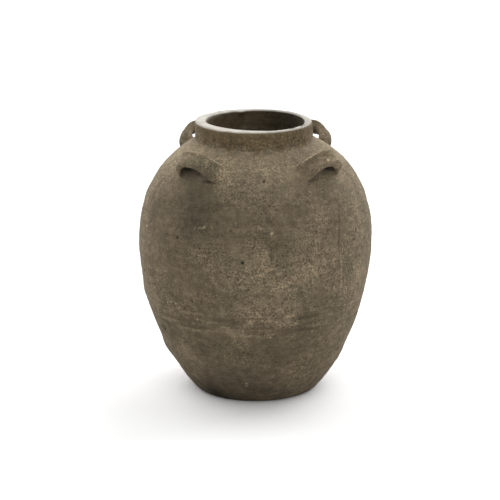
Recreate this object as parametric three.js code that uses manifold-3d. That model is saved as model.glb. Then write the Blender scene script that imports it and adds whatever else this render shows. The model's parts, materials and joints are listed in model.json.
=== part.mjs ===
// Terracotta vase with four strap lugs on its shoulder.
// Millimetres, +Z up. The origin is the centre of the foot, on the surface the vase stands on,
// and the front of the vase faces -Y.
//
// The vessel is built the way a potter raises a large pot: a floor slab, seven wall rings about
// 45 mm tall, a neck collar and a lip coil, each standing on the one below with a stepped joint,
// and four pulled straps luted to the shoulder. Every ring is turned, so each one is a closed
// profile spun about the vertical axis.
import * as THREE from "three";
import { mergeVertices } from "three/addons/utils/BufferGeometryUtils.js";
import Module from "manifold-3d";

// Overall shape of the vessel
const totalHeight = 352;
const bellyRadius = 150;
const bellyHeight = 200;
const neckRadius = 75;
const neckHeight = 24;
const shoulderPitch = 25;        // slope of the shoulder where it meets the neck, degrees

// Foot
const footRadius = 76;           // flat part of the underside
const footRounding = 10;
const footLean = 43.5;           // lean of the wall out of the foot, degrees from upright

// How far each end tangent pulls the wall curve
const footPull = 57;
const bellyPullDown = 63;
const bellyPullUp = 59;
const shoulderPull = 51;

// Clay thickness
const wallThickness = 10;
const floorThickness = 14;
const lipThickness = 12;

// Neck and lip
const neckFillet = 5;            // outside, where the neck meets the shoulder
const throatEase = 6;            // inside, where the shoulder turns up into the neck
const lipHeight = 9;             // height of the coil that makes the lip
const lipOuterRounding = 3.5;
const lipInnerRounding = 2.5;

// Joints between the rings
const lowerJointHeight = 110;    // faint scraped line round the lower belly
const footRingShare = 0.5;       // foot ring's share of the wall below the scraped line
const underBellyShare = 0.5;     // under-belly ring's share of the wall from there to the belly
const overBellyShare = 0.37;     // top of the over-belly ring, from the belly to the collar
const shoulderShare = 0.7;       // top of the shoulder ring, from the belly to the collar
const collarSeatDrop = 6;        // collar joint below the foot of the neck
const stepHeight = 4;            // height of the step in every joint
const jointClearance = 0.3;      // slip-filled gap beside and above the step

// Strap lugs
const lugRingShare = 0.44;       // middle of a lug's foot line, from the neck (0) to the belly (1)
const lugRingRadius = neckRadius + (bellyRadius - neckRadius) * lugRingShare;
const lugHalfSpan = 27;          // half the distance between the two feet, middle to middle
const lugRise = 25;              // middle of the strap above the shoulder, at the crown
const strapWidth = 20;
const strapThickness = 8;
const strapSquareness = 0.55;    // 1 is an oval section, less is squarer
const footSpread = 1.5;          // how much thicker the strap is where it is pressed on
const footWiden = 1.2;           // how much wider it is there
const rootDepth = 10;            // strap carried past the shoulder before it is trimmed
const lugClearance = 0.3;        // luting gap between a lug and the shoulder
const slopeReach = 8;            // each way from the foot line, to measure the shoulder's slope
const lugs = [
  { name: "lug_front_left", azimuth: -39 },
  { name: "lug_front_right", azimuth: 47 },
  { name: "lug_back_left", azimuth: -140 },
  { name: "lug_back_right", azimuth: 140 },
];                               // degrees from the front, towards +X

// Fineness of the curves
const turnSegments = 60;
const wallSteps = 8;
const roundSteps = 3;
const strapStations = 16;
const strapSectionPoints = 12;
const leastRowGap = 0.5;         // no profile point closer than this to a ring's end

const rad = THREE.MathUtils.degToRad;
const neckFootHeight = totalHeight - neckHeight;
const mouthRadius = neckRadius - lipThickness;

// Profile points are (radius, height).
const at = (r, z) => new THREE.Vector2(r, z);

// A point moved from a start along a direction given as an angle above the outward horizontal.
function along(start, angle, distance) {
  return at(start.x + Math.cos(angle) * distance, start.y + Math.sin(angle) * distance);
}

// Points of a round corner: a circle arc between two angles, both ends included.
function arc(centre, radius, from, to, steps = roundSteps) {
  const points = [];
  for (let i = 0; i <= steps; i++) {
    points.push(along(centre, from + ((to - from) * i) / steps, radius));
  }
  return points;
}

// The outside of the foot, then the two curves of the wall
const footArc = arc(at(footRadius, footRounding), footRounding, -Math.PI / 2, -rad(footLean));
const wallStart = footArc[footArc.length - 1];
const belly = at(bellyRadius, bellyHeight);
const neckFoot = at(neckRadius, neckFootHeight);
const lowerCurve = new THREE.CubicBezierCurve(
  wallStart,
  along(wallStart, Math.PI / 2 - rad(footLean), footPull),
  at(bellyRadius, bellyHeight - bellyPullDown),
  belly,
);
const upperCurve = new THREE.CubicBezierCurve(
  belly,
  at(bellyRadius, bellyHeight + bellyPullUp),
  along(neckFoot, -rad(shoulderPitch), shoulderPull),
  neckFoot,
);

// Samples of a curve moved sideways into the clay by a distance, as points.
function offsetSamples(curve, distance) {
  const points = [];
  for (let i = 0; i <= wallSteps; i++) {
    const point = curve.getPointAt(i / wallSteps);
    const tangent = curve.getTangentAt(i / wallSteps);
    points.push(at(point.x - tangent.y * distance, point.y + tangent.x * distance));
  }
  return points;
}

// Outside of the vessel, from the edge of the foot to the top of the neck.
function outsideLine() {
  const tangentLength = neckFillet * Math.tan(rad(90 - shoulderPitch) / 2);
  const filletStart = along(neckFoot, -rad(shoulderPitch), tangentLength);
  const filletCentre = at(neckRadius + neckFillet, neckFootHeight + tangentLength);
  const shoulder = offsetSamples(upperCurve, 0).filter((point) => point.y < filletStart.y - 1);
  return [
    ...footArc,
    ...offsetSamples(lowerCurve, 0).slice(1),
    ...shoulder.slice(1),
    ...arc(filletCentre, neckFillet, -rad(90 + shoulderPitch), -Math.PI),
    at(neckRadius, totalHeight),
  ];
}

// Inside of the vessel, from below the floor's top to the top of the neck.
function insideLine() {
  const lower = offsetSamples(lowerCurve, wallThickness);
  const upper = offsetSamples(upperCurve, wallThickness);
  const end = upper[upper.length - 1];
  const corner = at(mouthRadius, end.y + (end.x - mouthRadius) * Math.tan(rad(shoulderPitch)));
  const throat = new THREE.QuadraticBezierCurve(end, corner, at(mouthRadius, corner.y + throatEase));
  return [
    ...lower,
    ...upper.slice(1),
    ...throat.getPoints(roundSteps).slice(1),
    at(mouthRadius, totalHeight),
  ];
}

const outside = outsideLine();
const inside = insideLine();

// Radius of a line at a height. A line's points rise all the way.
function radiusAt(line, z) {
  const next = line.findIndex((point) => point.y > z);
  if (next <= 0) return next === 0 ? line[0].x : line[line.length - 1].x;
  const a = line[next - 1];
  const b = line[next];
  return a.x + ((b.x - a.x) * (z - a.y)) / (b.y - a.y);
}

// The stretch of a line between two heights, with a point at each end.
function stretch(line, low, high) {
  const middle = line.filter(
    (point) => point.y > low + leastRowGap && point.y < high - leastRowGap,
  );
  return [at(radiusAt(line, low), low), ...middle, at(radiusAt(line, high), high)];
}

// Joints. The outer half of the wall meets at the joint's height. The inner half of the lower
// piece stands up one step higher, inside a matching rebate of the piece above.
const slabJoint = floorThickness - stepHeight;
const bellyJoint = bellyHeight;
const collarJoint = neckFootHeight - collarSeatDrop;
const lipJoint = totalHeight - lipHeight;

function between(low, high, share) {
  return low + (high - low) * share;
}
const footJoint = between(slabJoint, lowerJointHeight, footRingShare);
const underBellyJoint = between(lowerJointHeight, bellyJoint, underBellyShare);
const overBellyJoint = between(bellyJoint, collarJoint, overBellyShare);
const shoulderJoint = between(bellyJoint, collarJoint, shoulderShare);

function stepRadius(z) {
  return (radiusAt(outside, z) + radiusAt(inside, z + stepHeight)) / 2;
}

// Top of a piece at a joint: from the outside in.
function stepTop(z) {
  const r = stepRadius(z);
  return [at(r, z), at(r, z + stepHeight)];
}

// Underside of a piece at a joint: from the inside out.
function stepUnder(z) {
  const r = stepRadius(z) + jointClearance;
  return [at(r, z + stepHeight + jointClearance), at(r, z)];
}

// Spins a profile about the vertical axis. The profile runs up the outside and down the inside.
function turned(profile) {
  const geometry = new THREE.LatheGeometry(profile, turnSegments);
  geometry.rotateX(Math.PI / 2);
  geometry.deleteAttribute("normal");
  geometry.deleteAttribute("uv");
  const merged = mergeVertices(geometry, 1e-4);
  merged.computeVertexNormals();
  return merged;
}

// A wall ring between two joints, spun from a profile that closes on itself.
function wallRing(low, high) {
  const innerLow = low + stepHeight + jointClearance;
  const innerHigh = high + stepHeight;
  const profile = [
    ...stretch(outside, low, high),
    ...stepTop(high),
    ...stretch(inside, innerLow, innerHigh).reverse(),
    ...stepUnder(low),
  ];
  profile.push(profile[0].clone());
  return turned(profile);
}

// The floor: a disc with a step round its rim for the lower wall.
function baseSlab() {
  return turned([
    at(0, 0),
    ...stretch(outside, 0, slabJoint),
    ...stepTop(slabJoint),
    at(0, floorThickness),
  ]);
}

// The lip coil: a flat top with both edges rounded over.
function lipRing() {
  const outerCentre = at(neckRadius - lipOuterRounding, totalHeight - lipOuterRounding);
  const innerCentre = at(mouthRadius + lipInnerRounding, totalHeight - lipInnerRounding);
  const profile = [
    at(neckRadius, lipJoint),
    ...arc(outerCentre, lipOuterRounding, 0, Math.PI / 2),
    ...arc(innerCentre, lipInnerRounding, Math.PI / 2, Math.PI),
    at(mouthRadius, lipJoint + stepHeight + jointClearance),
    ...stepUnder(lipJoint),
  ];
  profile.push(profile[0].clone());
  return turned(profile);
}

// Solids for the one cut in this part: trimming the straps to the shoulder.
const wasm = await Module();
wasm.setup();

function toSolid(geometry) {
  const bare = geometry.clone();
  bare.deleteAttribute("normal");
  bare.deleteAttribute("uv");
  const merged = mergeVertices(bare, 1e-4);
  return new wasm.Manifold(
    new wasm.Mesh({
      numProp: 3,
      vertProperties: Float32Array.from(merged.attributes.position.array),
      triVerts: Uint32Array.from(merged.index.array),
    }),
  );
}

function toGeometry(solid) {
  const mesh = solid.getMesh();
  const geometry = new THREE.BufferGeometry();
  geometry.setAttribute("position", new THREE.BufferAttribute(mesh.vertProperties, 3));
  geometry.setIndex(new THREE.BufferAttribute(mesh.triVerts, 1));
  geometry.computeVertexNormals();
  return geometry;
}

// The space that the shoulder takes, grown by the luting gap.
function shoulderSpace() {
  const skin = stretch(outside, bellyHeight, neckFootHeight);
  const grown = skin.map((point, i) => {
    const before = skin[Math.max(i - 1, 0)];
    const after = skin[Math.min(i + 1, skin.length - 1)];
    const tangent = after.clone().sub(before).normalize();
    return at(point.x + tangent.y * lugClearance, point.y - tangent.x * lugClearance);
  });
  return toSolid(turned([at(0, bellyHeight), ...grown, at(0, neckFootHeight)]));
}

// Slope of the shoulder under the lugs: the angle of its outward normal above the horizontal.
function shoulderNormalAngle() {
  const z = shoulderHeightAt(lugRingRadius);
  const higher = shoulderHeightAt(lugRingRadius - slopeReach);
  const lower = shoulderHeightAt(lugRingRadius + slopeReach);
  return { z, angle: Math.PI / 2 - Math.atan2(higher - lower, 2 * slopeReach) };
}

// Height of the shoulder's outside at a radius.
function shoulderHeightAt(r) {
  const skin = stretch(outside, bellyHeight, neckFootHeight);
  const next = skin.findIndex((point) => point.x < r);
  const a = skin[next - 1];
  const b = skin[next];
  return a.y + ((b.y - a.y) * (r - a.x)) / (b.x - a.x);
}

// A sine or cosine pushed towards 1 or -1, which turns a circle into a rounded square.
function squared(value) {
  return Math.sign(value) * Math.abs(value) ** strapSquareness;
}

// An untrimmed strap as a swept arch. It stands square to the shoulder, its feet lie side by
// side round the vase, and its width runs down the shoulder.
function strap(azimuth) {
  const { z, angle } = shoulderNormalAngle();
  const out = new THREE.Vector3(Math.sin(azimuth), -Math.cos(azimuth), 0);
  const up = new THREE.Vector3(0, 0, 1);
  const side = new THREE.Vector3(Math.cos(azimuth), Math.sin(azimuth), 0);
  const stand = out.clone().multiplyScalar(Math.cos(angle)).addScaledVector(up, Math.sin(angle));
  const down = out.clone().multiplyScalar(Math.sin(angle)).addScaledVector(up, -Math.cos(angle));
  const base = out.clone().multiplyScalar(lugRingRadius).addScaledVector(up, z);
  const positions = [];
  for (let i = 0; i <= strapStations; i++) {
    // The first and last stations carry the legs straight down into the shoulder.
    const turn = (Math.PI * Math.min(Math.max(i - 1, 0), strapStations - 2)) / (strapStations - 2);
    const sunk = i === 0 || i === strapStations ? rootDepth : 0;
    const outward = new THREE.Vector2(Math.cos(turn) / lugHalfSpan, Math.sin(turn) / lugRise);
    outward.normalize();
    const press = Math.cos(turn) ** 6;
    const halfThick = (strapThickness / 2) * (1 + (footSpread - 1) * press);
    const halfWide = (strapWidth / 2) * (1 + (footWiden - 1) * press);
    for (let j = 0; j < strapSectionPoints; j++) {
      const spin = (2 * Math.PI * j) / strapSectionPoints;
      const thick = halfThick * squared(Math.cos(spin));
      const wide = halfWide * squared(Math.sin(spin));
      const point = base
        .clone()
        .addScaledVector(side, lugHalfSpan * Math.cos(turn) + outward.x * thick)
        .addScaledVector(stand, lugRise * Math.sin(turn) + outward.y * thick - sunk)
        .addScaledVector(down, wide);
      positions.push(point.x, point.y, point.z);
    }
  }
  return sweptTube(positions, strapStations + 1, strapSectionPoints);
}

// Skins rings of points, each with as many points as the next, and caps both ends.
function sweptTube(positions, rings, perRing) {
  const triangles = [];
  for (let i = 0; i < rings - 1; i++) {
    for (let j = 0; j < perRing; j++) {
      const a = i * perRing + j;
      const b = i * perRing + ((j + 1) % perRing);
      triangles.push(a, b + perRing, b, a, a + perRing, b + perRing);
    }
  }
  const last = (rings - 1) * perRing;
  for (let j = 1; j < perRing - 1; j++) {
    triangles.push(0, j, j + 1, last, last + j + 1, last + j);
  }
  const geometry = new THREE.BufferGeometry();
  geometry.setAttribute("position", new THREE.Float32BufferAttribute(positions, 3));
  geometry.setIndex(triangles);
  return geometry;
}

// Unglazed clay, the same body with a slightly different tone on each piece
function clay(color) {
  return new THREE.MeshStandardMaterial({ color, roughness: 0.95, metalness: 0 });
}

function piece(name, geometry, color) {
  const mesh = new THREE.Mesh(geometry, clay(color));
  mesh.name = name;
  return mesh;
}

const vase = new THREE.Group();
vase.add(
  piece("base_slab", baseSlab(), 0x5f5647),
  piece("foot_wall", wallRing(slabJoint, footJoint), 0x635949),
  piece("lower_wall", wallRing(footJoint, lowerJointHeight), 0x675d4c),
  piece("under_belly_wall", wallRing(lowerJointHeight, underBellyJoint), 0x6b6150),
  piece("belly_wall", wallRing(underBellyJoint, bellyJoint), 0x6b6150),
  piece("over_belly_wall", wallRing(bellyJoint, overBellyJoint), 0x706654),
  piece("shoulder_wall", wallRing(overBellyJoint, shoulderJoint), 0x756b58),
  piece("lug_seat_wall", wallRing(shoulderJoint, collarJoint), 0x7a705d),
  piece("neck_collar", wallRing(collarJoint, lipJoint), 0x5a4f3f),
  piece("lip_ring", lipRing(), 0x8c8272),
);
const space = shoulderSpace();
for (const { name, azimuth } of lugs) {
  const trimmed = toSolid(strap(rad(azimuth))).subtract(space);
  vase.add(piece(name, toGeometry(trimmed), 0x6f6553));
}

export default vase;
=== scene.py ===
# %% [markdown]
# # A terracotta vase with strap lugs
#
# The vase is unglazed clay: a floor slab, seven wall rings, a neck collar and a lip coil,
# stacked while the clay was firm and smoothed over, with four straps pressed on the shoulder.
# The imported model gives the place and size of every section. It is turned in flat facets, so
# here each section gets a fine skin of real clay: throwing ripples, lumps, pits and scrapes.

# %% Load the fixed frame
import json
import math

import bpy
import numpy as np
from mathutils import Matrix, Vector
from mathutils.kdtree import KDTree


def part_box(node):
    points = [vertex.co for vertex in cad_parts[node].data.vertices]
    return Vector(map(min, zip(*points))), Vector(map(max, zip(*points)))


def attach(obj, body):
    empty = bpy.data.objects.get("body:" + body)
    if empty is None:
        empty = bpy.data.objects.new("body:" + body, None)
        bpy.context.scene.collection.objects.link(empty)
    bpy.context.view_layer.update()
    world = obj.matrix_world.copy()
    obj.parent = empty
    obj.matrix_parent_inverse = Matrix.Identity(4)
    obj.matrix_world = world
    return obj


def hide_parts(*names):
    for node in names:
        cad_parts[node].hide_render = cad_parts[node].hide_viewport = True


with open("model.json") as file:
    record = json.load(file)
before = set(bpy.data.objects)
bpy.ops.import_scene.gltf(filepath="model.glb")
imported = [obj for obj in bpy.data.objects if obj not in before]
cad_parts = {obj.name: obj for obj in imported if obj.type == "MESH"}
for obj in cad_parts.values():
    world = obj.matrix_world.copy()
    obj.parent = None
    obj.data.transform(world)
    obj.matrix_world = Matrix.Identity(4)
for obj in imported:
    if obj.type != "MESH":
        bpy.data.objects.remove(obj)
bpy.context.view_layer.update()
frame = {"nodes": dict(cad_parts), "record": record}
print("nodes:", sorted(frame["nodes"]))

# %% [markdown]
# ## Camera
#
# The photograph looks along +Y from a little above, with a long lens. A camera is a point and a
# direction, so it is placed by its distance, its pitch and the height that it looks at.

# %% Place the camera
MM = 0.001
CAMERA_DISTANCE = 2599 * MM
CAMERA_PITCH = math.radians(15.9)
CAMERA_TARGET_HEIGHT = 179.6 * MM
CAMERA_SIDE_STEP = -6.5 * MM
FILM_WIDTH = 36
LENS = 144
SIGHT_LIMIT = 100


def add_object(name, data):
    """Puts a new object with the given data in the scene."""
    added = bpy.data.objects.new(name, data)
    bpy.context.scene.collection.objects.link(added)
    return added


def place_camera():
    """Makes the camera that looks at the vase from the front."""
    camera = add_object("camera", bpy.data.cameras.new("camera"))
    camera.data.sensor_width = FILM_WIDTH
    camera.data.lens = LENS
    camera.data.clip_end = SIGHT_LIMIT
    camera.location = (
        CAMERA_SIDE_STEP,
        -CAMERA_DISTANCE * math.cos(CAMERA_PITCH),
        CAMERA_TARGET_HEIGHT + CAMERA_DISTANCE * math.sin(CAMERA_PITCH),
    )
    camera.rotation_euler = (math.pi / 2 - CAMERA_PITCH, 0, 0)
    bpy.context.scene.camera = camera
    return camera


camera = place_camera()
print("camera at", [round(value, 3) for value in camera.location])

# %% [markdown]
# ## The outline
#
# A thrown pot is an outline spun round its axis. The outline is the same one that the sections
# were turned from: a rounded foot, two smooth curves that meet at the belly, a small hollow
# where the neck rises, and the straight neck. The heights of the joints come from the frame.

# %% Sizes of the vessel
TOTAL_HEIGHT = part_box("lip_ring")[1].z
NECK_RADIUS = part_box("lip_ring")[1].x
BELLY_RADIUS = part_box("over_belly_wall")[1].x
BELLY_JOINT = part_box("over_belly_wall")[0].z
RING_NODES = ("foot_wall", "lower_wall", "under_belly_wall", "belly_wall", "over_belly_wall")
RING_NODES += ("shoulder_wall", "lug_seat_wall", "neck_collar", "lip_ring")
JOINTS = [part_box(node)[0].z for node in RING_NODES]
SLAB_JOINT, LIP_JOINT = JOINTS[0], JOINTS[-1]
FLOOR_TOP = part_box("base_slab")[1].z
STEP = FLOOR_TOP - SLAB_JOINT

NECK_HEIGHT = 24 * MM
NECK_FOOT = TOTAL_HEIGHT - NECK_HEIGHT
SHOULDER_PITCH = math.radians(25)
FOOT_RADIUS = 76 * MM
FOOT_ROUNDING = 10 * MM
FOOT_LEAN = math.radians(43.5)
FOOT_PULL = 57 * MM
BELLY_PULL_DOWN = 63 * MM
BELLY_PULL_UP = 59 * MM
SHOULDER_PULL = 51 * MM
WALL = 10 * MM
LIP_THICKNESS = 12 * MM
MOUTH_RADIUS = NECK_RADIUS - LIP_THICKNESS
NECK_HOLLOW = 5 * MM
THROAT_EASE = 6 * MM
LIP_OUTER_ROUNDING = 3.5 * MM
LIP_INNER_ROUNDING = 2.5 * MM
ROW = 1.4 * MM
print("height", round(TOTAL_HEIGHT, 4), "belly radius", round(BELLY_RADIUS, 4))
print("joints (mm)", [round(z / MM, 1) for z in JOINTS])

# %% Curves that the outline is made of
BEZIER_SAMPLES = 400


def arc(centre, radius, start, end, row=ROW):
    """Points (radius, height) of a circle arc between two angles."""
    count = max(2, math.ceil(abs(end - start) * radius / row))
    angle = np.linspace(start, end, count + 1)
    return np.array(centre) + radius * np.stack([np.cos(angle), np.sin(angle)], 1)


def even_bezier(points, row=ROW):
    """Evenly spaced points (radius, height) along a cubic Bezier curve."""
    p0, p1, p2, p3 = (np.array(point, float) for point in points)
    t = np.linspace(0, 1, BEZIER_SAMPLES)[:, None]
    curve = (1 - t) ** 3 * p0 + 3 * (1 - t) ** 2 * t * p1 + 3 * (1 - t) * t**2 * p2 + t**3 * p3
    length = np.concatenate([[0], np.cumsum(np.hypot(*np.diff(curve, axis=0).T))])
    wanted = np.linspace(0, length[-1], math.ceil(length[-1] / row) + 1)
    return np.stack([np.interp(wanted, length, curve[:, i]) for i in (0, 1)], 1)


def step_from(point, angle, distance):
    """The point at a distance from another, along an angle above the outward horizontal."""
    return (point[0] + math.cos(angle) * distance, point[1] + math.sin(angle) * distance)


def straight(start, end, row=ROW):
    """Evenly spaced points (radius, height) on a straight line."""
    start, end = np.array(start, float), np.array(end, float)
    count = max(1, math.ceil(np.hypot(*(end - start)) / row))
    return start + (end - start) * np.linspace(0, 1, count + 1)[:, None]


print("points on the foot's rounding:", len(arc((0, 0), FOOT_ROUNDING, 0, math.pi / 2)))

# %% [markdown]
# ## Two sides of one wall
#
# The outside is drawn first. The inside is the same curve moved in by the wall's thickness,
# square to the clay, and then eased up into the straight mouth. Each point also keeps the
# direction that the clay faces there, because the relief is added along it later.

# %% The outside and the inside
def wall_curves(row=ROW):
    """The two curves of the wall: foot to belly, and belly to neck."""
    start = step_from((FOOT_RADIUS, FOOT_ROUNDING), -FOOT_LEAN, FOOT_ROUNDING)
    belly = (BELLY_RADIUS, BELLY_JOINT)
    neck = (NECK_RADIUS, NECK_FOOT)
    lower = even_bezier(
        [
            start,
            step_from(start, math.pi / 2 - FOOT_LEAN, FOOT_PULL),
            (BELLY_RADIUS, BELLY_JOINT - BELLY_PULL_DOWN),
            belly,
        ],
        row,
    )
    upper = even_bezier(
        [
            belly,
            (BELLY_RADIUS, BELLY_JOINT + BELLY_PULL_UP),
            step_from(neck, -SHOULDER_PITCH, SHOULDER_PULL),
            neck,
        ],
        row,
    )
    return lower, upper


def unit_normals(line):
    """For each point of a rising line, the direction square to it, away from the axis."""
    along = np.gradient(line, axis=0)
    along /= np.hypot(*along.T)[:, None]
    return np.stack([along[:, 1], -along[:, 0]], 1)


def outside_line():
    """Points (radius, height) of the outside, from the foot's edge to the top of the neck."""
    lower, upper = wall_curves()
    reach = NECK_HOLLOW * math.tan((math.pi / 2 - SHOULDER_PITCH) / 2)
    start = step_from((NECK_RADIUS, NECK_FOOT), -SHOULDER_PITCH, reach)
    hollow = arc(
        (NECK_RADIUS + NECK_HOLLOW, NECK_FOOT + reach),
        NECK_HOLLOW,
        -SHOULDER_PITCH - math.pi / 2,
        -math.pi,
        row=ROW / 2,
    )
    foot = arc((FOOT_RADIUS, FOOT_ROUNDING), FOOT_ROUNDING, -math.pi / 2, -FOOT_LEAN, row=ROW / 2)
    upper = upper[upper[:, 1] < start[1] - ROW / 2]
    neck = straight(hollow[-1], (NECK_RADIUS, TOTAL_HEIGHT))
    return np.concatenate([foot, lower[1:], upper[1:], hollow, neck[1:]])


def inside_line():
    """Points (radius, height) of the inside, from below the floor's top to the top of the neck."""
    lower, upper = wall_curves(row=2 * ROW)
    lower = lower - unit_normals(lower) * WALL
    upper = upper - unit_normals(upper) * WALL
    end = upper[-1]
    corner = (MOUTH_RADIUS, end[1] + (end[0] - MOUTH_RADIUS) * math.tan(SHOULDER_PITCH))
    top = (MOUTH_RADIUS, corner[1] + THROAT_EASE)
    throat = even_bezier([end, corner, corner, top])
    neck = straight(top, (MOUTH_RADIUS, TOTAL_HEIGHT))
    return np.concatenate([lower, upper[1:], throat[1:], neck[1:]])


OUTSIDE = outside_line()
INSIDE = inside_line()
OUTSIDE_NORMAL = unit_normals(OUTSIDE)
INSIDE_NORMAL = -unit_normals(INSIDE)
print("outside rows", len(OUTSIDE), "inside rows", len(INSIDE))

# %% Cut a stretch of the outline
def at_height(line, values, z):
    """Values along a rising line, read at a height."""
    return np.stack([np.interp(z, line[:, 1], values[:, i]) for i in (0, 1)], -1)


def stretch(line, normals, low, high):
    """Rows (radius, height, normal) of a line between two heights, with a row at each end."""
    inner = (line[:, 1] > low + ROW / 4) & (line[:, 1] < high - ROW / 4)
    heights = np.concatenate([[low], line[inner, 1], [high]])
    rows = at_height(line, line, heights)
    rows[:, 1] = heights
    return np.concatenate([rows, at_height(line, normals, heights)], 1)


# %% [markdown]
# ## Clay relief
#
# Hand-built clay is never smooth. Broad lumps come from the hands, fine ripples from the wheel,
# short scrapes from a rib, and pits from air and burnt-out grit. All of them are worked out from
# the place on the vase alone, so two rings that meet get the same relief at their joint.

# %% Noise that depends only on place
HASH_X, HASH_Y, HASH_Z = np.uint64(73856093), np.uint64(19349663), np.uint64(83492791)
HASH_SEED, HASH_MIX = np.uint64(2654435761), np.uint64(1274126177)
FAR_FROM_ZERO = 1000


def cell_value(cell, seed):
    """A fixed random number from -1 to 1 for each whole-number cell."""
    x, y, z = (cell[:, i].astype(np.uint64) for i in range(3))
    code = (x * HASH_X) ^ (y * HASH_Y) ^ (z * HASH_Z) ^ (np.uint64(seed) * HASH_SEED)
    code ^= code >> np.uint64(13)
    code *= HASH_MIX
    code ^= code >> np.uint64(29)
    return (code & np.uint64(0xFFFF)).astype(float) / 32767.5 - 1


def lumps(points, size, seed):
    """Smooth noise from -1 to 1 with lumps about `size` across. Size may differ by axis."""
    place = points / np.array(size) + FAR_FROM_ZERO
    cell = np.floor(place).astype(np.int64)
    part = place - cell
    part = part * part * (3 - 2 * part)
    total = np.zeros(len(points))
    for corner in np.ndindex(2, 2, 2):
        weight = np.prod(np.where(corner, part, 1 - part), axis=1)
        total += weight * cell_value(cell + np.array(corner), seed)
    return total


def smooth_step(value, start, end):
    """Rises smoothly from 0 at start to 1 at end."""
    t = np.clip((value - start) / (end - start), 0, 1)
    return t * t * (3 - 2 * t)


def band(value, start, full, last, end):
    """Rises from 0 at start to 1 at full, and falls from 1 at last to 0 at end."""
    return smooth_step(value, start, full) * (1 - smooth_step(value, last, end))


def round_place(degrees, z, radius):
    """The point at a compass angle from the front, a height and a radius."""
    angle = np.radians(degrees)
    return np.stack([radius * np.sin(angle), -radius * np.cos(angle), z], -1)


def outside_radius(z):
    """Radius of the plain outside at a height."""
    return np.interp(z, OUTSIDE[:, 1], OUTSIDE[:, 0])


def round_spot(points, centre, size):
    """1 at the centre and softly down to 0 round it, over about `size` metres."""
    return np.exp(-((np.linalg.norm(points - centre, axis=1) / size) ** 2))


def soft_spots(points, spots):
    """Adds up round spots: degrees from the front, height (mm), size (mm) and strength."""
    total = np.zeros(len(points))
    for degrees, z, size, strength in spots:
        centre = round_place(degrees, z * MM, outside_radius(z * MM))
        total += strength * round_spot(points, centre, size * MM)
    return total


print("noise ready:", np.round(lumps(np.array([[0.1, 0.2, 0.3]]), 0.02, 1), 3))

# %% [markdown]
# ## Pits and scratches
#
# Pits are where air or burnt-out grit opened the skin. A few that stand out are listed, and
# the rest are scattered with a seeded random draw. A KD-tree finds the points round each pit, so
# no point is measured against all of them. A scratch is a soft groove along a line on the wall,
# paler where it bared fresh clay; others are darkened along the groove by their given tone.

# %% Pits, a few set by eye and the rest scattered
PIT_COUNT = 620
PIT_SEED = 11
PIT_HEIGHTS = (6 * MM, NECK_FOOT + 14 * MM)
# Radii (mm) start at the smallest and grow by up to the second number. Depths are shares.
SMALLEST_PIT, PIT_GROWTH = 0.6, 0.8
PIT_DEPTHS = (0.6, 1.2)
PIT_REACH = 2.2
PIT_STEEPNESS = 1.3
NOTED_PITS = (
    # degrees from the front, height, radius, depth (mm)
    (-6, 205.3, 1.6, 2.4), (-41, 227.5, 1.4, 2.1), (5, 299.1, 1.4, 2.1),
    (24.5, 200.9, 1.1, 1.5), (-61, 92.9, 1.3, 1.8), (-6.5, 82.1, 1.2, 1.8),
    (-17, 278.4, 1, 1.5), (20, 305, 0.9, 1.2), (-22, 281, 0.9, 1),
)


def all_pits():
    """Centres, radii and depths of the pits in the outside wall."""
    rng = np.random.default_rng(PIT_SEED)
    degrees = rng.uniform(-180, 180, PIT_COUNT)
    z = rng.uniform(*PIT_HEIGHTS, PIT_COUNT)
    radius = (SMALLEST_PIT + PIT_GROWTH * rng.random(PIT_COUNT) ** 3) * MM
    depth = radius * rng.uniform(*PIT_DEPTHS, PIT_COUNT)
    scattered = np.stack([degrees, z, radius, depth], 1)
    noted = np.array(NOTED_PITS) * (1, MM, MM, MM)
    degrees, z, radius, depth = np.concatenate([scattered, noted]).T
    return round_place(degrees, z, outside_radius(z)), radius, depth


PITS = all_pits()


def pit_depth(points):
    """How far each point is pushed in by the pits around it."""
    tree = KDTree(len(points))
    for index, point in enumerate(points):
        tree.insert(point, index)
    tree.balance()
    pushed = np.zeros(len(points))
    for centre, radius, depth in zip(*PITS):
        for _, index, distance in tree.find_range(centre, PIT_REACH * radius):
            fall = depth * math.exp(-((distance / radius) ** 2) * PIT_STEEPNESS)
            pushed[index] = max(pushed[index], fall)
    return pushed


print("pits:", len(PITS[0]))

# %% Scratches left by a rib or a fingernail
NOTED_SCRATCHES = (
    # degrees from the front at the start and end, heights, depth (mm), tone
    (47.5, 43.5, 258, 212, 0.5, -0.75), (45.5, 48.5, 206, 146, 0.3, 0.9),
    (30.5, 30.8, 236, 176, 0.2, 0.1), (-15.5, 7, 328.8, 329, 0.35, -0.42),
    (-15, 0, 326.6, 326.8, 0, 0.25), (5, 17, 326.3, 326.5, 0.25, -0.22),
    (7.5, 13.5, 322.9, 323.1, 0.2, 0.4), (-26, -19, 120.5, 122.5, 0.3, 0.55),
    (-18, -12, 118, 117, 0.3, 0.55), (-11.5, -1, 106.4, 106.9, 0.4, 0.65),
    (-6, 0, 123, 123.6, 0.3, 0.5), (-12, 4, 113, 112.5, 0.4, -0.28),
    (-22, -8, 125.5, 125, 0.35, -0.18), (-36, -30, 106, 107, 0.3, 0.5),
    (-3, 11, 119, 118, 0.35, -0.35), (-17, -9, 109.5, 109, 0.3, 0.45),
    (-4, 5, 127, 127.4, 0.3, 0.35), (-30, -24, 113, 113.5, 0.3, -0.35),
    (4, 10, 104, 104.5, 0.3, 0.4), (-16, -12, 199, 198, 0, 0.8), (9, 15, 190, 184, 0.3, -0.15),
    (-30, -25.5, 243.5, 245, 0, 0.8), (-62, -58, 284, 281, 0.3, 0.3),
    (120, 133, 240, 246, 0.4, -0.25), (-150, -120, 150, 154, 0.4, 0.2),
    (170, 196, 112, 116, 0.4, -0.25),
)
SCRATCH_WIDTH = 0.95 * MM
SCRATCH_FADE = 0.15


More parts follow.
